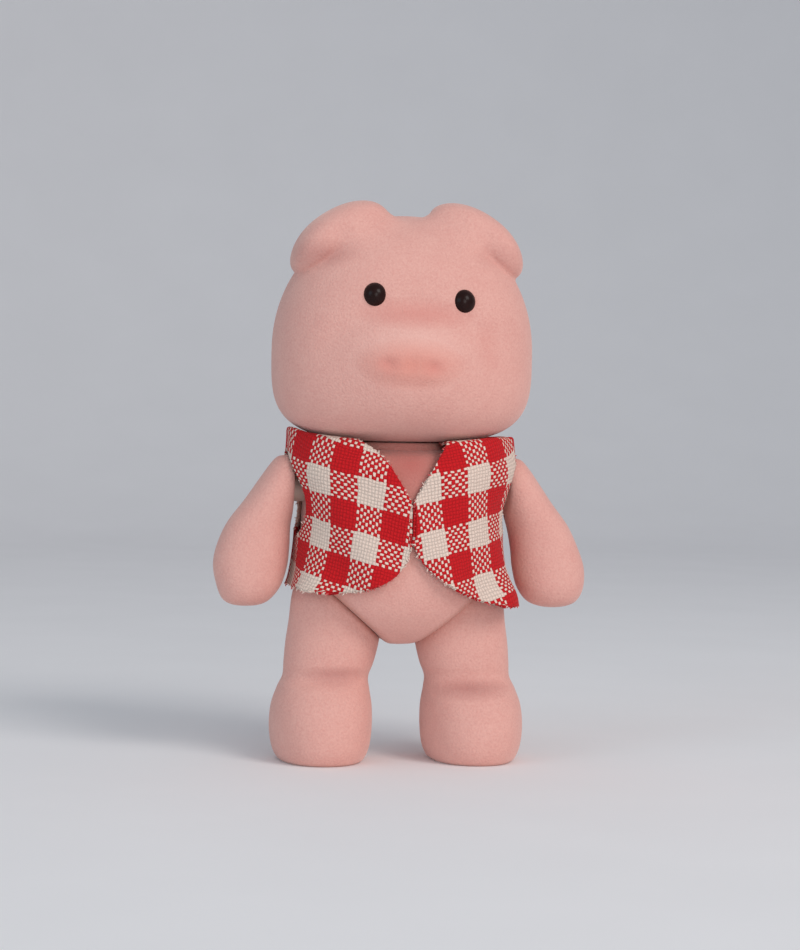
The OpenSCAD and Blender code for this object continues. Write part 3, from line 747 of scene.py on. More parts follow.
def face_spot(x, y, z, *rest):
    """A tinted spot at a place of the face."""
    across, height = on_face(x, z)
    return ((across, y, height), *rest)


def nostril_spot(side):
    """A deeper spot round one nostril: painted shade in its hollow."""
    return face_spot(
        NOSE_X + side * NOSTRIL_X, FACE_FRONT, NOSTRIL_Z, (1.7, 2.5, 1.3), 1.0, 0.5, HOLLOW_SHADE_TINT
    )


def grid_object(name, points, material, body, *nodes, slot="flocked_skin"):
    """A closed piece from rows of points, riding on its body in place of its
    plain solids."""
    made = mesh_object(name, points, grid_faces(*points.shape[:2]))
    made.data.materials.append(material)
    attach(made, body)
    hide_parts(*nodes)


head_skin = flock_material("flocked_head", spots=[
    # painted highlight on the muzzle's top
    face_spot(NOSE_X / 2, FACE_FRONT, NOSE_Z + 2.35, (7.5, 5.0, 2.8), 0.8, 0.5, MUZZLE_HIGHLIGHT_TINT),
    face_spot(NOSE_X, FACE_FRONT, NOSE_Z, (6.6, 5.0, 3.1), 0.8, 0.72, NOSE_TINT),
    nostril_spot(-1),
    nostril_spot(1),
    # painted shade in the crease over the muzzle and in the crease at its right side
    face_spot(0, FACE_FRONT + 1, 51.6, (7.6, 6.0, 2.0), 0.9, 0.62, HOLLOW_SHADE_TINT),
    face_spot(8.4, -8.8, 48.5, (2.0, 4.0, 4.0), 1.0, 0.35, HOLLOW_SHADE_TINT),
    # painted shade in the folds under the ears, deeper under the right ear, away from the key lamp
    ((-10.2, -6.6, 58.3), (4.6, 4.0, 2.0), 1.0, 0.6, FOLD_SHADE_TINT),
    ((10.2, -6.6, 58.3), (4.6, 4.0, 2.0), 1.0, 0.25, FOLD_SHADE_TINT),
])

grid_object("head_face_skin", face_points(), head_skin, "head", "head_front")
grid_object("head_nape_skin", nape_points(), head_skin, "head", "head_back")
left_lobe = ear_points()
right_lobe = left_lobe * np.array([-1, 1, 1])
grid_object("left_ear_skin", left_lobe, head_skin, "head", "left_ear")
grid_object("right_ear_skin", right_lobe, head_skin, "head", "right_ear")

# %% [markdown]
# ## Eyes
#
# Each eye is a dark bead on a stem, nearly black and only half glossy, so
# that it catches no more than a faint point of light. A bead is a surface
# of revolution, pressed a little narrower than it is tall.

# %% Eye beads
EYE_X, EYE_Z, EYE_D = 5.05, 53.35, 2.9
EYE_SINK = 0.74
EYE_STEM_R, EYE_STEM_L = 0.5, 1.8
EYE_NARROW, EYE_TALL = 0.96, 1.02


def bead_points(side, rows=70, sides=64):
    """A sphere that runs into a stem: the radius is the sphere's until it
    meets the stem's, and the stem is straight."""
    r = EYE_D / 2
    meet = math.asin(EYE_STEM_R / r)
    polar = np.linspace(0, np.pi - meet, rows)
    stem = np.array([0.5, 1, 1]) * EYE_STEM_L
    depth = np.concatenate([-r * np.cos(polar), r + stem])
    radius = np.concatenate([r * np.sin(polar), [EYE_STEM_R, EYE_STEM_R, 0]])[:, None]
    turn = full_turn(sides)
    across, height = on_face(side * EYE_X - FACE_SHIFT, EYE_Z)
    middle = -(float(head_surface(np.array(across), np.array(height))) - EYE_SINK)
    x = across + EYE_NARROW * radius * np.cos(turn)
    z = height + EYE_TALL * radius * np.sin(turn)
    y = middle + depth[:, None] + 0 * turn
    return np.stack([x, y, z], axis=-1)


def bead_material():
    """A dark bead, not quite even in colour and gloss, under a thin coat."""
    material, tree, shader = new_material("polished_bead")
    cloud = noise(tree, object_place(tree), 900.0, 3.0)
    plug(tree, shader.inputs, {
        "Base Color": mix_colour(tree, cloud, linear(26, 9, 7), linear(40, 14, 10)),
        "Roughness": math_node(tree, "MULTIPLY_ADD", cloud, 0.12, 0.3),
        "Specular IOR Level": 0.12,
        "Coat Weight": 0.1,
        "Coat Roughness": 0.15,
    })
    return material


bead = bead_material()
for side, label in ((-1, "right"), (1, "left")):
    name = f"{label}_eye"
    grid_object(f"{name}_bead", bead_points(side), bead, "head", name, slot="eye_bead")

# %% [markdown]
# ## Body
#
# The body is a rounded block with shoulders, moulded in two half shells
# whose seam lies at the sides. Below, two sloping faces are pressed flat:
# the legs turn against them. The shells are walls with a hollow between,
# because the pins turn in there.

# %% The two shells of the body
NECK_Z, CROTCH_Z = 36.8, 13.4
BODY_H, BODY_MID = NECK_Z - CROTCH_Z, (NECK_Z + CROTCH_Z) / 2
BODY_HALF, BELLY_FRONT, BELLY_BACK = 11.4, 9.6, 9.0
BODY_POWER = 2.3
HOLLOW_FLOOR = 22.6
NECK_TOP_Z, NECK_LOW_Z, NECK_SQUASH = 37.02, 35.9, 1.12
NECK_FLAT_R, NECK_RIM_R = 4.6, 5.5
HIP_X, HIP_Z, HIP_SLOPE = 6.9, 18.4, math.radians(41)
HIP_SIDE, HIP_UP = math.sin(HIP_SLOPE), math.cos(HIP_SLOPE)
HIP_EDGE = 0.35
# Height, half width, front and back reach as shares, then how much the
# cloth stands off sideways and how much it is lifted
BODY_ROWS = np.array([
    [1.000, 0.380, 0.440, 0.460, 0.00, 0.000],
    [0.978, 0.450, 0.500, 0.520, 0.00, 0.000],
    [0.968, 0.620, 0.610, 0.620, 0.00, 0.000],
    [0.945, 0.790, 0.730, 0.740, 0.03, 0.008],
    [0.905, 0.900, 0.830, 0.840, 0.17, 0.030],
    [0.840, 0.955, 0.905, 0.915, 0.17, 0.018],
    [0.750, 0.985, 0.950, 0.960, 0.08, 0.000],
    [0.620, 1.000, 0.985, 0.990, 0.02, 0.000],
    [0.450, 1.000, 1.000, 1.000, 0.02, 0.000],
    [0.330, 0.985, 0.985, 0.985, 0.06, 0.000],
    [0.240, 0.930, 0.940, 0.940, 0.18, 0.000],
    [0.160, 0.820, 0.850, 0.850, 0.32, 0.000],
    [0.080, 0.600, 0.680, 0.680, 0.50, 0.000],
    [0.025, 0.350, 0.440, 0.440, 0.50, 0.000],
    [0.000, 0.000, 0.000, 0.000, 0.50, 0.000],
])


def body_rows(grow):
    """Rows of the body in millimetres, grown outwards or inwards."""
    edge = np.minimum(1, 3 * BODY_ROWS[:, 1])
    return np.stack([
        BODY_MID + (BODY_ROWS[:, 0] - 0.5) * (BODY_H + 2 * grow),
        0 * edge,
        BODY_HALF * BODY_ROWS[:, 1] + grow * edge,
        BELLY_FRONT * BODY_ROWS[:, 2] + grow * edge,
        BELLY_BACK * BODY_ROWS[:, 3] + grow * edge,
    ], axis=1)


def torso_points(side, rows=150, half_sides=150):
    """Loops round one half of the wall, outer side out and inner side back,
    from the neck down to the crotch. The flat top of the neck is raised to
    the head, and the hip faces are pressed flat."""
    t = np.linspace(0, 1, rows)
    outer, inner = along(body_rows(0), t), along(body_rows(-SHELL_WALL), t)
    inner[:, 0] = np.maximum(inner[:, 0], HOLLOW_FLOOR)
    outer = np.vstack([[NECK_Z, 0, 0, 0, 0], outer])
    inner = np.vstack([[NECK_Z - SHELL_WALL, 0, 0, 0, 0], inner])
    turn = (np.pi if side < 0 else 0) + np.pi * np.linspace(0, 1, half_sides)
    walls = [rings(outer, turn, BODY_POWER), rings(inner, turn[::-1], BODY_POWER)]
    points = np.concatenate(walls, axis=1)
    x, y, z = points[..., 0], points[..., 1], points[..., 2]
    away = np.hypot(x / NECK_SQUASH, y)
    neck = smooth_step(NECK_RIM_R, NECK_FLAT_R, away) * (z > NECK_LOW_Z)
    points[..., 2] += neck * (NECK_TOP_Z - z)
    seam = [0, half_sides - 1, half_sides, 2 * half_sides - 1]
    points[:, seam, 1] = 0
    for way in (-1, 1):
        out = np.array([way * HIP_SIDE, 0, -HIP_UP])
        points = cut_flat(points, [way * HIP_X, 0, HIP_Z], out, HIP_EDGE)
    return points


# %% [markdown]
# ## Seams at the hips
#
# Where the legs turn against the body, the flock lies in shade, and a thin
# darker line of painted shade shows it. The distance from the joint's plane
# gives it, on the body and on the legs alike.

# %% Painted shade along the joint faces, and the body's pieces
SEAM_SHADE_TINT, THROAT_SHADE_TINT = linear(176, 104, 82), linear(188, 104, 96)
SEAM_STRENGTH, SEAM_REACH = 0.6, 0.8


def paint_hip_seam_shade(material):
    """Paints shade on the flock beside the two sloping joint faces. The distance
    to a face is |x| sin s - z cos s less the same at the hip."""
    tree = material.node_tree
    base = tree.nodes["Principled BSDF"].inputs["Base Color"]
    skin = base.links[0].from_socket
    apart = node(tree, "ShaderNodeVectorMath", {0: object_place(tree)}, operation="ABSOLUTE")
    along_out = node(
        tree, "ShaderNodeVectorMath", {0: apart.outputs[0], 1: (HIP_SIDE, 0, -HIP_UP)},
        operation="DOT_PRODUCT",
    ).outputs["Value"]
    at_hip = (HIP_X * HIP_SIDE - HIP_Z * HIP_UP) * MM
    away = math_node(tree, "ABSOLUTE", math_node(tree, "SUBTRACT", along_out, at_hip))
    near = math_node(tree, "MULTIPLY_ADD", away, -1 / (SEAM_REACH * MM), 1.0, clamp=True)
    amount = math_node(tree, "MULTIPLY", math_node(tree, "POWER", near, 2.0), SEAM_STRENGTH)
    # the seam's painted shade, laid over the skin
    tree.links.new(mix_colour(tree, amount, skin, SEAM_SHADE_TINT), base)


torso_skin = flock_material("flocked_torso", spots=[
    # painted shade under the chin in the vest's open neck, reddened as a painted reflection of the
    # red cloth
    ((0, -8.5, 35.0), (6.5, 6.0, 7.0), 0.8, 0.95, THROAT_SHADE_TINT),
])
paint_hip_seam_shade(torso_skin)
grid_object("belly_skin", torso_points(-1), torso_skin, "torso", "torso_front")
grid_object("back_skin", torso_points(1), torso_skin, "torso", "torso_back")

# %% [markdown]
# ## Arms
#
# An arm is a teardrop with a flat inner face. It is a stack of level rings
# with its joint face pressed flat, and the right one is mirrored. On this
# pig the right arm hangs closer to the body and has the rounder hand.

# %% Arms
ARM_FACE_X, ARM_TOP, ARM_L = 12.6, 35.4, 17.6
HAND_OUT, HAND_W, HAND_DEEP = 5.68, 8.4, 7.6
ARM_EDGE = 0.3
LIMB_POWER = 2.2
INNER_SWELL = {-1: 0.58, 1: 0.0}
OUTER_SLIM = {-1: 1.1, 1: 0.0}
# Height share, place of the middle, half width and half depth
ARM_ROWS = np.array([
    [1.000, 0.12, 0.00, 0.00],
    [0.985, 0.12, 0.26, 0.40],
    [0.930, 0.13, 0.46, 0.74],
    [0.830, 0.23, 0.62, 0.94],
    [0.700, 0.42, 0.74, 1.00],
    [0.550, 0.68, 0.86, 1.00],
    [0.400, 0.84, 0.95, 1.00],
    [0.270, 0.93, 1.01, 1.00],
    [0.140, 0.98, 0.94, 0.95],
    [0.050, 1.01, 0.72, 0.74],
    [0.012, 1.02, 0.40, 0.42],
    [0.000, 1.02, 0.00, 0.00],
])


def arm_points(side, rows=150, sides=160):
    """Rings of the arm's table, swollen on the inner side and slimmed on the
    outer one: the middle moves in by half the sum of the two amounts, and
    the half width grows by half their difference."""
    height, out, half, deep = ARM_ROWS.T
    reach = HAND_DEEP / 2 * deep
    table = np.stack([
        ARM_TOP - ARM_L * (1 - height), ARM_FACE_X + HAND_OUT * out, HAND_W / 2 * half,
        reach, reach,
    ], axis=1)
    upper, lower = smooth_step(0.65, 0.35, height), smooth_step(0.5, 0.0, height)
    inner = INNER_SWELL[side] * smooth_step(0, 0.2, height) * upper
    outer = OUTER_SLIM[side] * lower
    table[:, 1] -= (inner + outer) / 2
    table[:, 2] += (inner - outer * smooth_step(0.0, 0.1, height)) / 2
    points = rings(along(table, np.linspace(0, 1, rows)), full_turn(sides), LIMB_POWER)
    points = cut_flat(points, [ARM_FACE_X, 0, 0], [-1, 0, 0], ARM_EDGE)
    return points * np.array([side, 1, 1])


# %% [markdown]
# ## Legs
#
# A leg is a thick post with a crease at the ankle and a broad rounded foot,
# cut off at the top by the sloping face of the hip. The same row of heights
# carries the post and the foot, so that one melts into the other.

# %% Legs
FOOT_X, FOOT_W = 8.9, 11.9
TOE_REACH, HEEL_REACH, THIGH_DEEP = 8.2, 5.4, 10.2
LIMB_GAP = 0.02
# Height share, middle, half width, then front and back reach as shares of
# the thigh and of the foot
LEG_ROWS = np.array([
    [1.260, 0.88, 0.52, 0.62, 0.62, 0.00, 0.00],
    [1.160, 0.82, 0.76, 0.86, 0.86, 0.00, 0.00],
    [1.030, 0.80, 0.89, 0.98, 0.98, 0.00, 0.00],
    [0.880, 0.82, 0.91, 1.00, 1.00, 0.00, 0.00],
    [0.740, 0.86, 0.91, 0.99, 0.99, 0.00, 0.00],
    [0.620, 0.90, 0.88, 0.96, 0.96, 0.00, 0.00],
    [0.530, 0.94, 0.84, 0.90, 0.90, 0.02, 0.01],
    [0.455, 0.97, 0.90, 0.40, 0.45, 0.52, 0.45],
    [0.350, 0.99, 0.98, 0.00, 0.00, 0.92, 0.95],
    [0.220, 1.00, 1.00, 0.00, 0.00, 1.00, 1.00],
    [0.100, 1.00, 0.96, 0.00, 0.00, 0.99, 0.98],
    [0.025, 1.00, 0.87, 0.00, 0.00, 0.92, 0.90],
    [0.000, 1.00, 0.78, 0.00, 0.00, 0.84, 0.80],
])


def leg_points(side, rows=190, sides=190):
    """Rings of the leg's table, closed by a flat top and a flat sole."""
    height, middle, half, front, back, toe, heel = LEG_ROWS.T
    table = np.stack([
        HIP_Z * height,
        FOOT_X * middle,
        FOOT_W / 2 * half,
        THIGH_DEEP / 2 * front + TOE_REACH * toe,
        THIGH_DEEP / 2 * back + HEEL_REACH * heel,
    ], axis=1)
    smooth = along(table, np.linspace(0, 1, rows))
    top, sole = smooth[:1] * [1, 1, 0, 0, 0], smooth[-1:] * [0, 1, 0, 0, 0]
    points = rings(np.vstack([top, smooth, sole]), full_turn(sides), LIMB_POWER)
    up = np.array([-HIP_SIDE, 0, HIP_UP])
    points = cut_flat(points, np.array([HIP_X, 0, HIP_Z]) - LIMB_GAP * up, up, HIP_EDGE)
    return points * np.array([side, 1, 1])


leg_skin = flock_material("flocked_legs", spots=[
    # painted shade in the ankle creases
    ((-7.6, -5.6, 10.2), (5.0, 4.0, 1.3), 0.9, 0.7, FOLD_SHADE_TINT),
    ((7.6, -5.6, 8.8), (5.6, 4.5, 1.6), 0.9, 0.65, FOLD_SHADE_TINT),
])
paint_hip_seam_shade(leg_skin)

for side, label in ((-1, "right"), (1, "left")):
    for limb, shape, skin in (("arm", arm_points, body_skin), ("leg", leg_points, leg_skin)):
        name = f"{label}_{limb}"
        grid_object(f"{name}_skin", shape(side), skin, f"{name}_limb", name)

# %% [markdown]
# ## Tail
#
# The tail is a curl that widens from its root and then keeps its radius. A
# tube follows it: every ring stands square to the path, and the direction
# out of the curl serves as its first side.

# %% Curled tail
TAIL_Z, TAIL_D, TAIL_CURL, TAIL_REACH = 16.8, 2.0, 1.5, 5.2
TAIL_ROOT_Y, TAIL_TURNS = 7.4, 1.25
TAIL_SUNK = 0.6


def unit(vectors, least=0.0):
    """Vectors of length 1 along the last axis."""
    return vectors / np.maximum(np.linalg.norm(vectors, axis=-1, keepdims=True), least)


def tail_points(rows=90, sides=40):
    """A tube along a curl of radius r, at (r sin a, root + reach t,
    height - r (1 - cos a)), that tapers and closes in a rounded tip."""
    t = np.linspace(0, 1, rows)
    ease = np.minimum(1, t / 0.4)
    r = TAIL_CURL * ease**2 * (3 - 2 * ease)
    turn = 2 * np.pi * TAIL_TURNS * t
    path = np.stack([
        r * np.sin(turn), TAIL_ROOT_Y + TAIL_REACH * t, TAIL_Z - r * (1 - np.cos(turn)),
    ], axis=-1)
    way = np.gradient(path, axis=0)
    way[0] = [0, 1, 0]
    way = unit(way)
    out = np.stack([np.sin(turn), 0 * turn, np.cos(turn)], axis=-1)
    out = unit(out - (out * way).sum(axis=1, keepdims=True) * way)
    radius = TAIL_D / 2 * (1 - 0.5 * t) * np.sqrt(np.clip((1 - t) / 0.06, 0, 1))
    radius[0] = 0
    path[0, 1] -= TAIL_SUNK
    round_turn = full_turn(sides)[None, :, None]
    ring = np.cos(round_turn) * out[:, None] + np.sin(round_turn) * np.cross(way, out)[:, None]
    return path[:, None] + radius[:, None, None] * ring


grid_object("tail_skin", tail_points(), body_skin, "torso", "tail")

# %% [markdown]
# ## The gingham cloth
#
# Gingham is a plain weave: warp and weft pass over and under each other,
# thread by thread. Both are dyed in bands of eight threads, red and white.
# Where two red bands cross, the cloth is red, where two white ones cross it
# is white, and elsewhere the threads take turns, which is the third tone.
# So the pattern needs no picture: the band of the thread that lies on top
# gives the colour, and its round back gives the height and a painted shade
# that is lighter on its top and darker at its edges. In the third tone the
# white threads are drawn slim, so that red shows on both sides of them.

# %% Plain weave as a shader group
THREADS = 8
SLIM_THREAD = 0.33
WANDER_SCALE, WANDER = 0.35, 0.9
ARCH, BOW = -3.4, -2.0


def make_weave_group():
    """Which thread lies on top is the parity of the two thread numbers. Its
    band is red when its number, counted in eights, is even."""
    group, start, end = new_group("gingham_weave", [
        ("Cloth Place", "NodeSocketVector", None),
        ("Threads", "NodeSocketFloat", float(THREADS)),
        ("Red", "NodeSocketColor", linear(208, 30, 36)),
        ("White", "NodeSocketColor", linear(238, 214, 199)),
    ])
    given = start.outputs
    place = given["Cloth Place"]

    def calc(operation, *values, clamp=False):
        """One step of arithmetic in this group."""
        return math_node(group, operation, *values, clamp=clamp)

    def vector(operation, *values):
        """The same for vectors."""
        values = dict(enumerate(values))
        return node(group, "ShaderNodeVectorMath", values, operation=operation).outputs[0]

    wander = node(group, "ShaderNodeTexNoise", {
        "Vector": place, "Scale": WANDER_SCALE, "Detail": 2.0,
    })
    drift = vector("SUBTRACT", wander.outputs["Color"], (0.5, 0.5, 0.5))
    bent = vector("MULTIPLY_ADD", drift, (WANDER, WANDER, 0.0), place)
    split = node(group, "ShaderNodeSeparateXYZ", {0: bent})
    number, part, band = [], [], []
    for axis in ("X", "Y"):
        number.append(calc("FLOOR", split.outputs[axis]))
        part.append(calc("SUBTRACT", calc("FRACT", split.outputs[axis]), 0.5))
        eights = calc("FLOOR", calc("DIVIDE", number[-1], given["Threads"]))
        band.append(calc("FLOORED_MODULO", eights, 2.0))
    warp_top = calc("FLOORED_MODULO", calc("ADD", *number), 2.0)
    band_on_top = mix_value(group, warp_top, band[1], band[0])
    band_below = mix_value(group, warp_top, band[0], band[1])
    across_top = mix_value(group, warp_top, part[1], part[0])
    slim = calc("LESS_THAN", calc("ABSOLUTE", across_top), SLIM_THREAD)
    white = calc("MULTIPLY", band_on_top, calc("MAXIMUM", band_below, slim))

    def round_back(across, lengthways):
        """Height of a thread: an arch across it times a lower arch along it."""
        arch = calc("MULTIPLY_ADD", calc("MULTIPLY", across, across), ARCH, 1.0, clamp=True)
        bow = calc("MULTIPLY_ADD", calc("MULTIPLY", lengthways, lengthways), BOW, 1.0)
        return calc("MULTIPLY", arch, bow)

    height = mix_value(group, warp_top, round_back(part[1], part[0]), round_back(part[0], part[1]))
    tone = noise(group, place, 1.3, 4.0, Roughness=0.7)
    fibre = noise(group, place, 9.0, 2.0)
    dye = mix_colour(group, white, given["Red"], given["White"])
    # painted shade: a thread is lighter on its round top and darker at its edges, and a random
    # tone is laid over it
    lit = calc("MULTIPLY_ADD", height, 0.3, 0.7)
    shade_and_tone = calc("MULTIPLY", lit, calc("MULTIPLY_ADD", tone, 0.5, 0.75))
    shade_grey = node(group, "ShaderNodeCombineColor", {0: shade_and_tone, 1: shade_and_tone, 2: shade_and_tone})
    plug(group, end.inputs, {
        "Colour": mix_colour(group, 1.0, dye, shade_grey.outputs[0], "MULTIPLY"),
        "Height": calc("MULTIPLY_ADD", fibre, 0.18, height),
        "Roughness": calc("MULTIPLY_ADD", fibre, 0.15, 0.8),
    })
    return group


gingham_weave = make_weave_group()


def cloth_material():
    """Soft cotton: the weave read from the cloth's own flat places."""
    material, tree, shader = new_material("gingham_cotton")
    place = node(tree, "ShaderNodeUVMap", uv_map="cloth").outputs[0]
    weave = node(tree, "ShaderNodeGroup", {"Cloth Place": place}, node_tree=gingham_weave).outputs
    plug(tree, shader.inputs, {
        "Base Color": weave["Colour"],
        "Roughness": weave["Roughness"],
        "Normal": bumped(tree, weave["Height"], 0.8, 0.00012),
        "Sheen Weight": 0.06,
        "Sheen Roughness": 0.5,
        "Specular IOR Level": 0.1,
    })
    return material


gingham = cloth_material()
print("weave ready, threads to a band:", THREADS)

# %% [markdown]
# ## The cut of the vest
#
# The vest is one piece of cloth, wrapped from one front edge round the back
# to the other, with two armholes. Its surface is worked out as a sleeve
# round the body, and then trimmed: the cells outside the cut are dropped
# and the last points are drawn onto the cutting line. So the cut is one
# function, which tells how far inside the nearest edge a point lies.

# %% Trim lines of the vest
SHOULDER_Z = 31.6
CLOTH_GAP, CLOTH_T = 0.3, 0.35
HEM_Z, HEM_LEAN, FRONT_LOW_Z, FRONT_HIGH_Z = 19.3, 0.07, 26.0, 30.5
NECKLINE_HALF, FRONT_SLIT = 4.4, 0.15
ARMHOLE_R, ARMHOLE_DROP = 4.35, 1.4
RIGHT_HEM_POWER, LEFT_HEM_POWER = 2.3, 1.75
LAPEL, LAPEL_POWER = 3.0, 6
FAR = 9.0
PULL_LIMIT = 0.35


def hem_at(x):
    """The hem hangs a little lower on one side, as the photograph shows."""
    return HEM_Z - HEM_LEAN * x


def front_edge(x, z):
    """Half width of the opening in front at a height: the neckline above,
    a slit in the middle and a rounded corner below. The right panel's
    lapel lies further back at the top, and its corner is squarer."""
    right = x < 0
    high = np.clip((z - FRONT_HIGH_Z) / (NECK_Z + 1 - FRONT_HIGH_Z), 0, None)
    neck = NECKLINE_HALF * high + np.where(right, LAPEL, 0) * np.minimum(high, 1) ** LAPEL_POWER
    low = np.clip((FRONT_LOW_Z - z) / (FRONT_LOW_Z - hem_at(x)), 0, 1)
    rounding = np.where(right, bulge(low, RIGHT_HEM_POWER), bulge(low, LEFT_HEM_POWER))
    corner = (BODY_HALF - FRONT_SLIT) * (1 - rounding)
    return FRONT_SLIT + neck + corner


def inside_cut(p):
    """Distance inside the nearest cutting line, in millimetres: below zero
    is waste cloth."""
    x, y, z = p[..., 0], p[..., 1], p[..., 2]
    ripple = 0.12 * np.sin(0.9 * x + 1.3) + 0.09 * np.sin(2.3 * x - y)
    hem = z - hem_at(x) - ripple
    slope = np.where(z < FRONT_LOW_Z, 0.75, 1.0)
    front = np.where(y < 0, (np.abs(x) - front_edge(x, z)) * slope, FAR)
    drop = np.clip(z, SHOULDER_Z - ARMHOLE_DROP, SHOULDER_Z)
    hole = np.where(np.abs(x) > NECKLINE_HALF, np.hypot(y, z - drop) - ARMHOLE_R, FAR)
    return np.minimum(np.minimum(hem, front), hole)


def trim(points, quads):
    """Keeps the cells that touch the cloth inside the cut, and draws their
    waste corners onto the cutting line."""
    inside = inside_cut(points) > 0
    kept = quads[inside[quads].any(axis=1)]
    for _ in range(3):
        slope = slope_of(inside_cut, points)
        steep = np.maximum((slope**2).sum(axis=1), 0.2)
        pull = np.maximum(-inside_cut(points), 0) / steep
        points = points + np.minimum(pull, PULL_LIMIT)[:, None] * slope
    return points, kept


# %% [markdown]
# ## The drape of the vest
#
# The cloth is stiff for its size, so it keeps its own shape: it stands up
# under the head and off the body at the hem. The sleeve is made of the
# body's own rings with the cloth's ease, and is then pushed outwards along
# its normal by a few soft folds. Each is a bell or a wave that the
# photograph shows or that such cloth takes.

# %% The draped sleeve
VEST_ROWS, VEST_COLUMNS = 112, 384
VEST_TOP, VEST_END = 0.1, 0.79
FOLDS, FOLD_DEEP = 9, 0.26
SLACK, FLARE, BILLOW, GAPE = 0.28, 0.75, 0.14, 0.22
HEAD_CLEAR, STRAP_OUT = 0.3, 0.8


def vest_table(grow):
    """Body rows with the cloth's ease at the sides and its lift."""
    rows = body_rows(grow)
    ease = BODY_ROWS[:, 4] * BODY_HALF
    rows[:, 0] += BODY_ROWS[:, 5] * BODY_H
    rows[:, 2] += ease
    rows[:, 3:] += ease[:, None] / 3
    return rows


def even_turns(half, deep, count):
    """Turns that step evenly along a ring, from the front edge round the
    back to the other front edge, and the length of the ring."""
    turn = 1.5 * np.pi + 2 * np.pi * np.linspace(0, 1, 4001)
    ring = rings(np.array([[0, 0, half, deep, deep]]), turn, BODY_POWER)[0]
    steps = np.linalg.norm(np.diff(ring, axis=0), axis=1)
    length = np.concatenate([[0], np.cumsum(steps)])
    return np.interp(np.linspace(0, length[-1], count), length, turn), length[-1]


def stand_up(p):
    """The cloth is stiff over the shoulders: it stands up close under the
    head, whichever way the head is turned, and the strap beside the neck
    juts out over the arm. The head's underside is that of its widest side."""
    x, y, z = p[..., 0], p[..., 1], p[..., 2]
    high = smooth_step(34.9, 36.2, z)
    strap = smooth_step(6.6, 12.2, np.abs(x)) * np.exp(-((y / 4.2) ** 2)) * high
    x = x + np.sign(x) * STRAP_OUT * strap * smooth_step(35.3, 36.3, z)
    away = np.minimum(np.hypot(x, y) / HEAD_HALF, 1)
    under = CHEEK_Z - CHEEK_H * bulge(away, CHIN_POWER) - HEAD_CLEAR
    share = 1 - strap * np.where(x < 0, 0.15, 0.5)
    return np.stack([x, y, z + high * share * np.maximum(under - z, 0)], axis=-1)


def vest_surface():
    """The middle surface of the cloth: the sleeve's rings, pushed outwards
    by folds that deepen to the hem, by slack beside the front edges, by the
    flare of the two front corners, by a billow over the chest and where the
    armholes gape."""
    t = VEST_TOP + (VEST_END - VEST_TOP) * np.linspace(0, 1, VEST_ROWS)
    table = along(vest_table(CLOTH_GAP + CLOTH_T / 2), t)
    turn, girth = even_turns(BODY_HALF + 0.5, BELLY_FRONT + 0.5, VEST_COLUMNS)
    points = rings(table, turn, BODY_POWER)
    x, y, z = points[..., 0], points[..., 1], points[..., 2]
    apart = np.abs(x)
    low = smooth_step(29.5, HEM_Z, z)
    away = turn[None, :] - 1.5 * np.pi
    wave = FOLD_DEEP * low**1.4 * (1 + np.cos(FOLDS * away + np.pi + 0.5 * np.sin(3 * away)))
    front = smooth_step(0, -4, y)
    slack = SLACK * front * np.exp(-apart / 1.6) * smooth_step(34, 28, z)
    side, corner = np.where(x < 0, 1.0, 1.25), np.exp(-((apart - 10.6) / 2.6) ** 2)
    flare = FLARE * side * front * corner * smooth_step(23.5, 18.5, z)
    billow = BILLOW * front * np.sin(0.85 * x + 0.5 * z) * smooth_step(35, 31, z)
    rim = (np.hypot(y, z - SHOULDER_Z) - ARMHOLE_R) / 0.9
    gape = GAPE * np.exp(-(rim**2)) * smooth_step(33, 35, z)
    normal = unit(np.cross(np.gradient(points, axis=0), np.gradient(points, axis=1)), 1e-9)
    outwards = np.sign((normal[..., 0] * x + normal[..., 1] * y).sum())
    push = wave + slack + flare + billow + gape
    return stand_up(points + outwards * normal * push[..., None]), girth


# %% [markdown]
# ## The grain of the vest
#
# The cloth is flared, so its flat shape is a fan. The place of every point
# in that fan is where the weave is read, and so the rows of checks sink
# towards the front, as they do in the photograph. These places are kept in
# the cloth's own UV map, counted in threads.

# %% Places in the flat cloth, and the cloth itself
CHECK_ACROSS, CHECK_DOWN = 3.10, 3.165
WARP_LEAN, WEFT_LEAN = math.radians(9.6), math.radians(15.0)
WEFT_TILT = math.radians(0.96)
SHIFT_ACROSS, SHIFT_DOWN = 7.7, 13.08


def flat_places(points, girth):
    """Where every point lies in the uncut cloth, in threads. The flare makes
    a fan: place = radius times the sine and cosine of the angle round it.
    The cloth is pulled a little askew, so the warp leans less than the weft."""
    round_back = (np.linspace(0, 1, points.shape[1]) - 0.5)[None, :] * girth
    steps = np.linalg.norm(np.diff(points, axis=0), axis=-1)
    down = np.concatenate([np.zeros((1, points.shape[1])), np.cumsum(steps, axis=0)])
    down = down.mean(axis=1, keepdims=True)
    warp_radius, weft_radius = girth / 2 / WARP_LEAN, girth / 2 / WEFT_LEAN
    u = (warp_radius + down) * np.sin(round_back / warp_radius)
    v = weft_radius - (weft_radius + down) * np.cos(round_back / weft_radius + WEFT_TILT)
    across, along_warp = u / CHECK_ACROSS * THREADS, v / CHECK_DOWN * THREADS
    return np.stack([across + SHIFT_ACROSS, along_warp + SHIFT_DOWN], axis=-1)


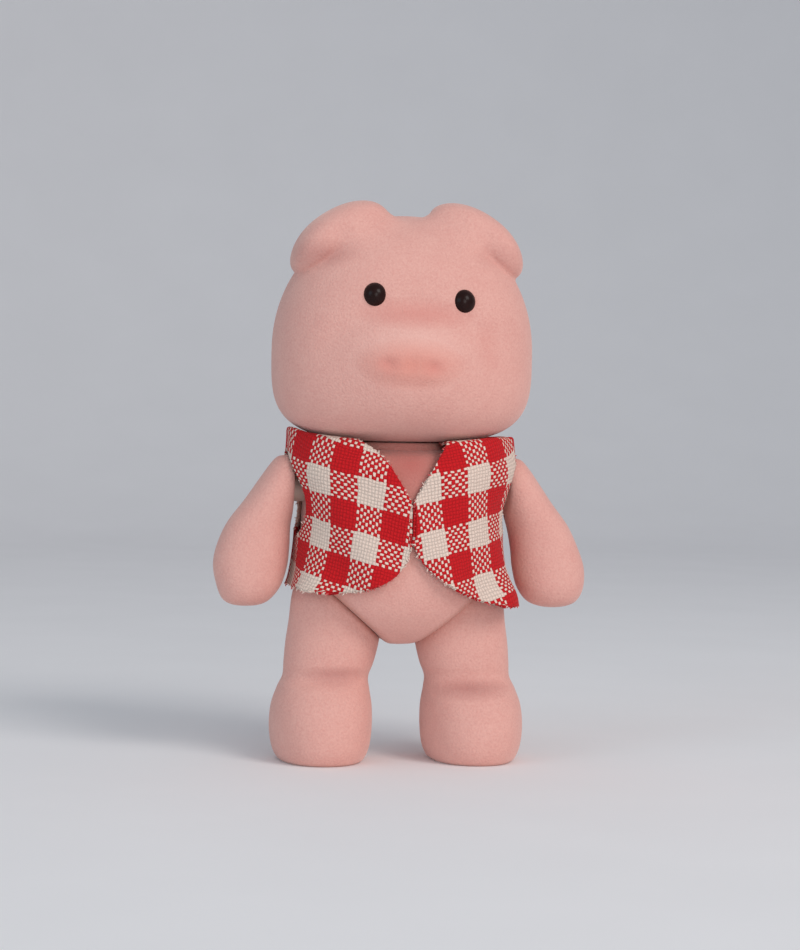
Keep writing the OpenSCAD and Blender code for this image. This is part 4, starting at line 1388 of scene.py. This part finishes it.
def cut_vest():
    """The trimmed cloth: its points, cells facing outwards, places in the
    flat cloth, area and girth."""
    surface, girth = vest_surface()
    place = flat_places(surface, girth).reshape(-1, 2)
    quads = grid_faces(VEST_ROWS, VEST_COLUMNS, round_columns=False)
    points, kept = trim(surface.reshape(-1, 3), quads)
    used, renumbered = np.unique(kept, return_inverse=True)
    kept = renumbered.reshape(kept.shape)
    points, place = points[used], place[used]
    a, b, c, d = (points[kept[:, k]] for k in range(4))
    across = np.cross(c - a, d - b)
    middle = points[kept].mean(axis=1)
    if np.einsum("ij,ij->i", across, middle * [1, 1, 0]).sum() < 0:
        kept = kept[:, ::-1]
    area = float(np.linalg.norm(across, axis=1).sum() / 2)
    return points, kept, place, area, girth


vest_points, vest_quads, vest_place, vest_area, vest_girth = cut_vest()
print(f"vest: area {vest_area:.0f} mm2, girth {vest_girth:.1f} mm, {len(vest_quads)} cells")


def make_vest():
    """The cloth as a mesh with its flat places, thickened on both sides."""
    mesh = bpy.data.meshes.new("vest_cloth")
    mesh.from_pydata((vest_points * MM).tolist(), [], vest_quads.tolist())
    layer = mesh.uv_layers.new(name="cloth")
    layer.data.foreach_set("uv", vest_place[vest_quads].reshape(-1).astype(np.float32))
    mesh.shade_smooth()
    mesh.materials.append(gingham)
    made = link_object("vest_cloth", mesh)
    solid = made.modifiers.new("thickness", "SOLIDIFY")
    solid.thickness = CLOTH_T * MM
    solid.offset = 0
    return made


vest = make_vest()
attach(vest, "torso")
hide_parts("vest")

# %% [markdown]
# ## Frayed edges
#
# The edges of the cloth are cut and not sewn, so single threads stand out
# of them. Each is a thin tapered tube that leaves the edge, bends a little
# and ends in a point. Their places, bends and bands are drawn from a seeded
# generator, so they are the same each time.

# %% Loose threads along the cut
THREAD_R, THREAD_SIDES, THREAD_STEPS = 0.085, 5, 6
FRAY_SHARE, FULL_EDGE = 0.62, 0.2
LEAN_ALONG, LEAN_UP, BEND_ALONG, BEND_UP = 0.35, 0.16, 0.3, 0.12
REACH_LEAST, REACH_MORE, ROOT_DEEP, ROOT_SPREAD = 0.34, 0.3, 0.22, 0.06
FRAY = np.random.default_rng(31)


def cut_edges():
    """Edges that belong to one cell only, with the way out of the cloth."""
    corners = np.stack([vest_quads, np.roll(vest_quads, -1, axis=1)], axis=-1).reshape(-1, 2)
    owner = np.repeat(np.arange(len(vest_quads)), 4)
    _, index, count = np.unique(
        np.sort(corners, axis=1), axis=0, return_index=True, return_counts=True
    )
    single = index[count == 1]
    ends = vest_points[corners[single]]
    middle = ends.mean(axis=1)
    cell = vest_points[vest_quads[owner[single]]]
    normal = np.cross(cell[:, 2] - cell[:, 0], cell[:, 3] - cell[:, 1])
    along_edge = ends[:, 1] - ends[:, 0]
    out = unit(np.cross(along_edge, normal), 1e-9)
    out *= np.sign(((middle - cell.mean(axis=1)) * out).sum(axis=1, keepdims=True))
    place = vest_place[corners[single]].mean(axis=1)
    return middle, out, unit(normal, 1e-9), place, np.linalg.norm(along_edge, axis=1)


def thread_points(start, way, bend, length):
    """Tubes along start + length (way s + bend s^2), whose radius narrows to
    a point at both ends: radius = r (1 - s^4)^(1/2)."""
    s = np.linspace(0, 1, THREAD_STEPS)[None, :, None]
    path = start[:, None] + length[:, None, None] * (way[:, None] * s + bend[:, None] * s**2)
    side = unit(np.cross(way, bend + 1e-3))
    other = np.cross(way, side)
    turn = full_turn(THREAD_SIDES)[None, None, :, None]
    radius = THREAD_R * np.sqrt(np.clip(1 - s**4, 0, 1))
    radius[:, 0] = 0
    ring = np.cos(turn) * side[:, None, None] + np.sin(turn) * other[:, None, None]
    return path[:, :, None] + radius[..., None] * ring


def fray_vest():
    """Draws which edges fray, and how each thread leans, bends and reaches."""
    middle, out, normal, place, length = cut_edges()
    odds = np.minimum(1, length / FULL_EDGE) * FRAY_SHARE
    pick = FRAY.random(len(middle)) < odds
    middle, out, normal, place = middle[pick], out[pick], normal[pick], place[pick]
    count = len(middle)
    along_edge = np.cross(out, normal)

    def spread(amount):
        """A random number for each thread, from a bell of this width."""
        return amount * FRAY.normal(size=(count, 1))

    way = unit(out + spread(LEAN_ALONG) * along_edge + spread(LEAN_UP) * normal)
    bend = spread(BEND_ALONG) * along_edge + np.abs(spread(BEND_UP)) * normal
    reach = REACH_LEAST + REACH_MORE * FRAY.random(count) ** 3
    start = middle - ROOT_DEEP * out + spread(ROOT_SPREAD) * normal
    tubes = thread_points(start, way, bend, reach)
    base = grid_faces(THREAD_STEPS, THREAD_SIDES)
    first = np.arange(count) * THREAD_STEPS * THREAD_SIDES
    return tubes, (base[None] + first[:, None, None]).reshape(-1, 4), place


fray_tubes, fray_quads, fray_place = fray_vest()
fray = mesh_object("vest_frayed_threads", fray_tubes, fray_quads)

# %% [markdown]
# ## Colour of the loose threads
#
# A loose thread is red or white as its band is. All of them are one mesh,
# so a number on its points tells the band, and the material reads it.

# %% Bands of the threads
def thread_material():
    """Every thread takes its colour from a number on its points: 0 is red
    and 1 is white, with a fine fibre noise over it."""
    material, tree, shader = new_material("cut_thread_ends")
    band = node(tree, "ShaderNodeAttribute", attribute_name="band", attribute_type="GEOMETRY")
    fibre = noise(tree, object_place(tree), 6000.0, 2.0)
    dye = mix_colour(tree, band.outputs["Fac"], linear(204, 32, 38), linear(236, 214, 200))
    worn = math_node(tree, "MULTIPLY", fibre, 0.3)
    plug(tree, shader.inputs, {
        "Base Color": mix_colour(tree, worn, dye, linear(240, 190, 180)),
        "Roughness": math_node(tree, "MULTIPLY_ADD", fibre, 0.2, 0.75),
        "Sheen Weight": 0.2,
    })
    return material


def colour_threads():
    """Writes each thread's band, found again from the nearest root. Each
    thread is drawn to be of the warp or of the weft."""
    mesh = fray.data
    points = np.empty(len(mesh.vertices) * 3)
    mesh.vertices.foreach_get("co", points)
    points = points.reshape(-1, 3) / MM
    roots = fray_tubes[:, 2].mean(axis=1)
    nearest = np.concatenate([
        ((block[:, None] - roots[None]) ** 2).sum(axis=-1).argmin(axis=1)
        for block in np.array_split(points, 20)
    ])
    axis = FRAY.integers(0, 2, len(roots))
    number = np.floor(fray_place[np.arange(len(roots)), axis] / THREADS)
    band = np.mod(number, 2)[nearest].astype(np.float32)
    mesh.attributes.new("band", "FLOAT", "POINT").data.foreach_set("value", band)
    mesh.materials.append(thread_material())


colour_threads()
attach(fray, "torso")

# %% [markdown]
# ## The flat piece of cloth
#
# A vest like this is cut from one flat piece. It is as long as the way round
# the body with a fiftieth more for the folds, and as high as the way from
# the collar to the hem.

# %% [markdown]
# ## Pins
#
# The five pins stay as the frame holds them, because their shape is right.
# They only get the finish of plain moulded plastic, a little satin and not
# quite even.

# %% Plain plastic for the pins
PINS = ("neck_pin", "right_shoulder_pin", "left_shoulder_pin", "right_hip_pin", "left_hip_pin")


def pin_material():
    """Pale plastic with a faint cloud in its colour, gloss and surface."""
    material, tree, shader = new_material("moulded_pin")
    cloud = noise(tree, object_place(tree), 700.0, 4.0)
    plug(tree, shader.inputs, {
        "Base Color": mix_colour(tree, cloud, linear(205, 182, 168), linear(222, 202, 188)),
        "Roughness": math_node(tree, "MULTIPLY_ADD", cloud, 0.2, 0.4),
        "Normal": bumped(tree, cloud, 0.1, 0.00003),
    })
    return material


pin_plastic = pin_material()
for label in PINS:
    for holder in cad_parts[label].material_slots:
        holder.material = pin_plastic

# %% [markdown]
# ## Stage
#
# The pig stands on a pale sheet that curves up behind it, so that no edge of
# a floor runs through the picture.

# %% Floor and backdrop
SHEET_HALF, SHEET_FRONT, SHEET_BACK = 900.0, -700.0, 420.0
SHEET_BEND, SHEET_TOP = 260.0, 900.0


def stage_points():
    """A sheet that is level up to the bend and then rises: an arc of a
    quarter turn joins the two."""
    arc = np.linspace(0, np.pi / 2, 24)
    rise = SHEET_BACK + SHEET_BEND
    y = np.concatenate([[SHEET_FRONT], SHEET_BACK + SHEET_BEND * np.sin(arc), [rise]])[:, None]
    z = np.concatenate([[0], SHEET_BEND * (1 - np.cos(arc)), [SHEET_TOP]])[:, None]
    x = np.array([-SHEET_HALF, SHEET_HALF])[None, :]
    return np.stack(np.broadcast_arrays(x, y, z), axis=-1)


def stage_material():
    """Pale matt paper with a tone that is barely uneven."""
    material, tree, shader = new_material("pale_sheet")
    cloud = noise(tree, object_place(tree), 40.0, 3.0)
    tone = mix_colour(tree, cloud, linear(240, 239, 240), linear(245, 244, 245))
    plug(tree, shader.inputs, {"Base Color": tone, "Roughness": 0.9})
    return material


sheet = stage_points()
sheet_faces = grid_faces(*sheet.shape[:2], round_columns=False)
backdrop = mesh_object("pale_backdrop", sheet, sheet_faces, closed=False)
backdrop.data.materials.append(stage_material())

# %% [markdown]
# ## Light
#
# Three broad lamps light the pig. The key, from the upper right of the
# picture, leaves the soft shade on the pig's right cheek and side that the
# photograph has. A cool fill opens that shade, and a low lamp in front
# reaches under the chin and the hem. The pale world fills the rest. The
# levels are plain, so that a colour renders about as it is written.

# %% Lamps and world
LAMP_SPREAD = math.radians(80)


def lamp(name, place, aim, size, power, colour):
    """A square area lamp, in millimetres, turned to its aim. It throws its
    light in a cone, so that the sheet below it isn't lit more than the pig."""
    data = bpy.data.lights.new(name, "AREA")
    data.shape, data.size, data.energy, data.color = "SQUARE", size * MM, power, colour
    data.spread = LAMP_SPREAD
    spot, target = np.array(place) * MM, np.array(aim) * MM
    back = unit(spot - target)
    right = unit(np.cross([0, 0, 1], back))
    made = link_object(name, data)
    made.matrix_world = placed(right, np.cross(back, right), back, spot)
    made.visible_camera = False


lamp("key_lamp", (345, -495, 480), (0, 0, 32), 330, 0.46, (1.0, 0.96, 0.93))
lamp("fill_lamp", (-540, -390, 230), (0, 0, 30), 380, 0.16, (0.5, 0.86, 1.0))
lamp("low_lamp", (60, -600, 125), (0, 0, 36), 220, 0.135, (1.0, 0.97, 0.95))

world = bpy.data.worlds.new("soft_room")
bpy.context.scene.world = world
world.use_nodes = True
plug(world.node_tree, world.node_tree.nodes["Background"].inputs, {
    "Color": (0.9, 0.93, 1.0, 1), "Strength": 0.445,
})
bpy.context.scene.view_settings.view_transform = "Standard"
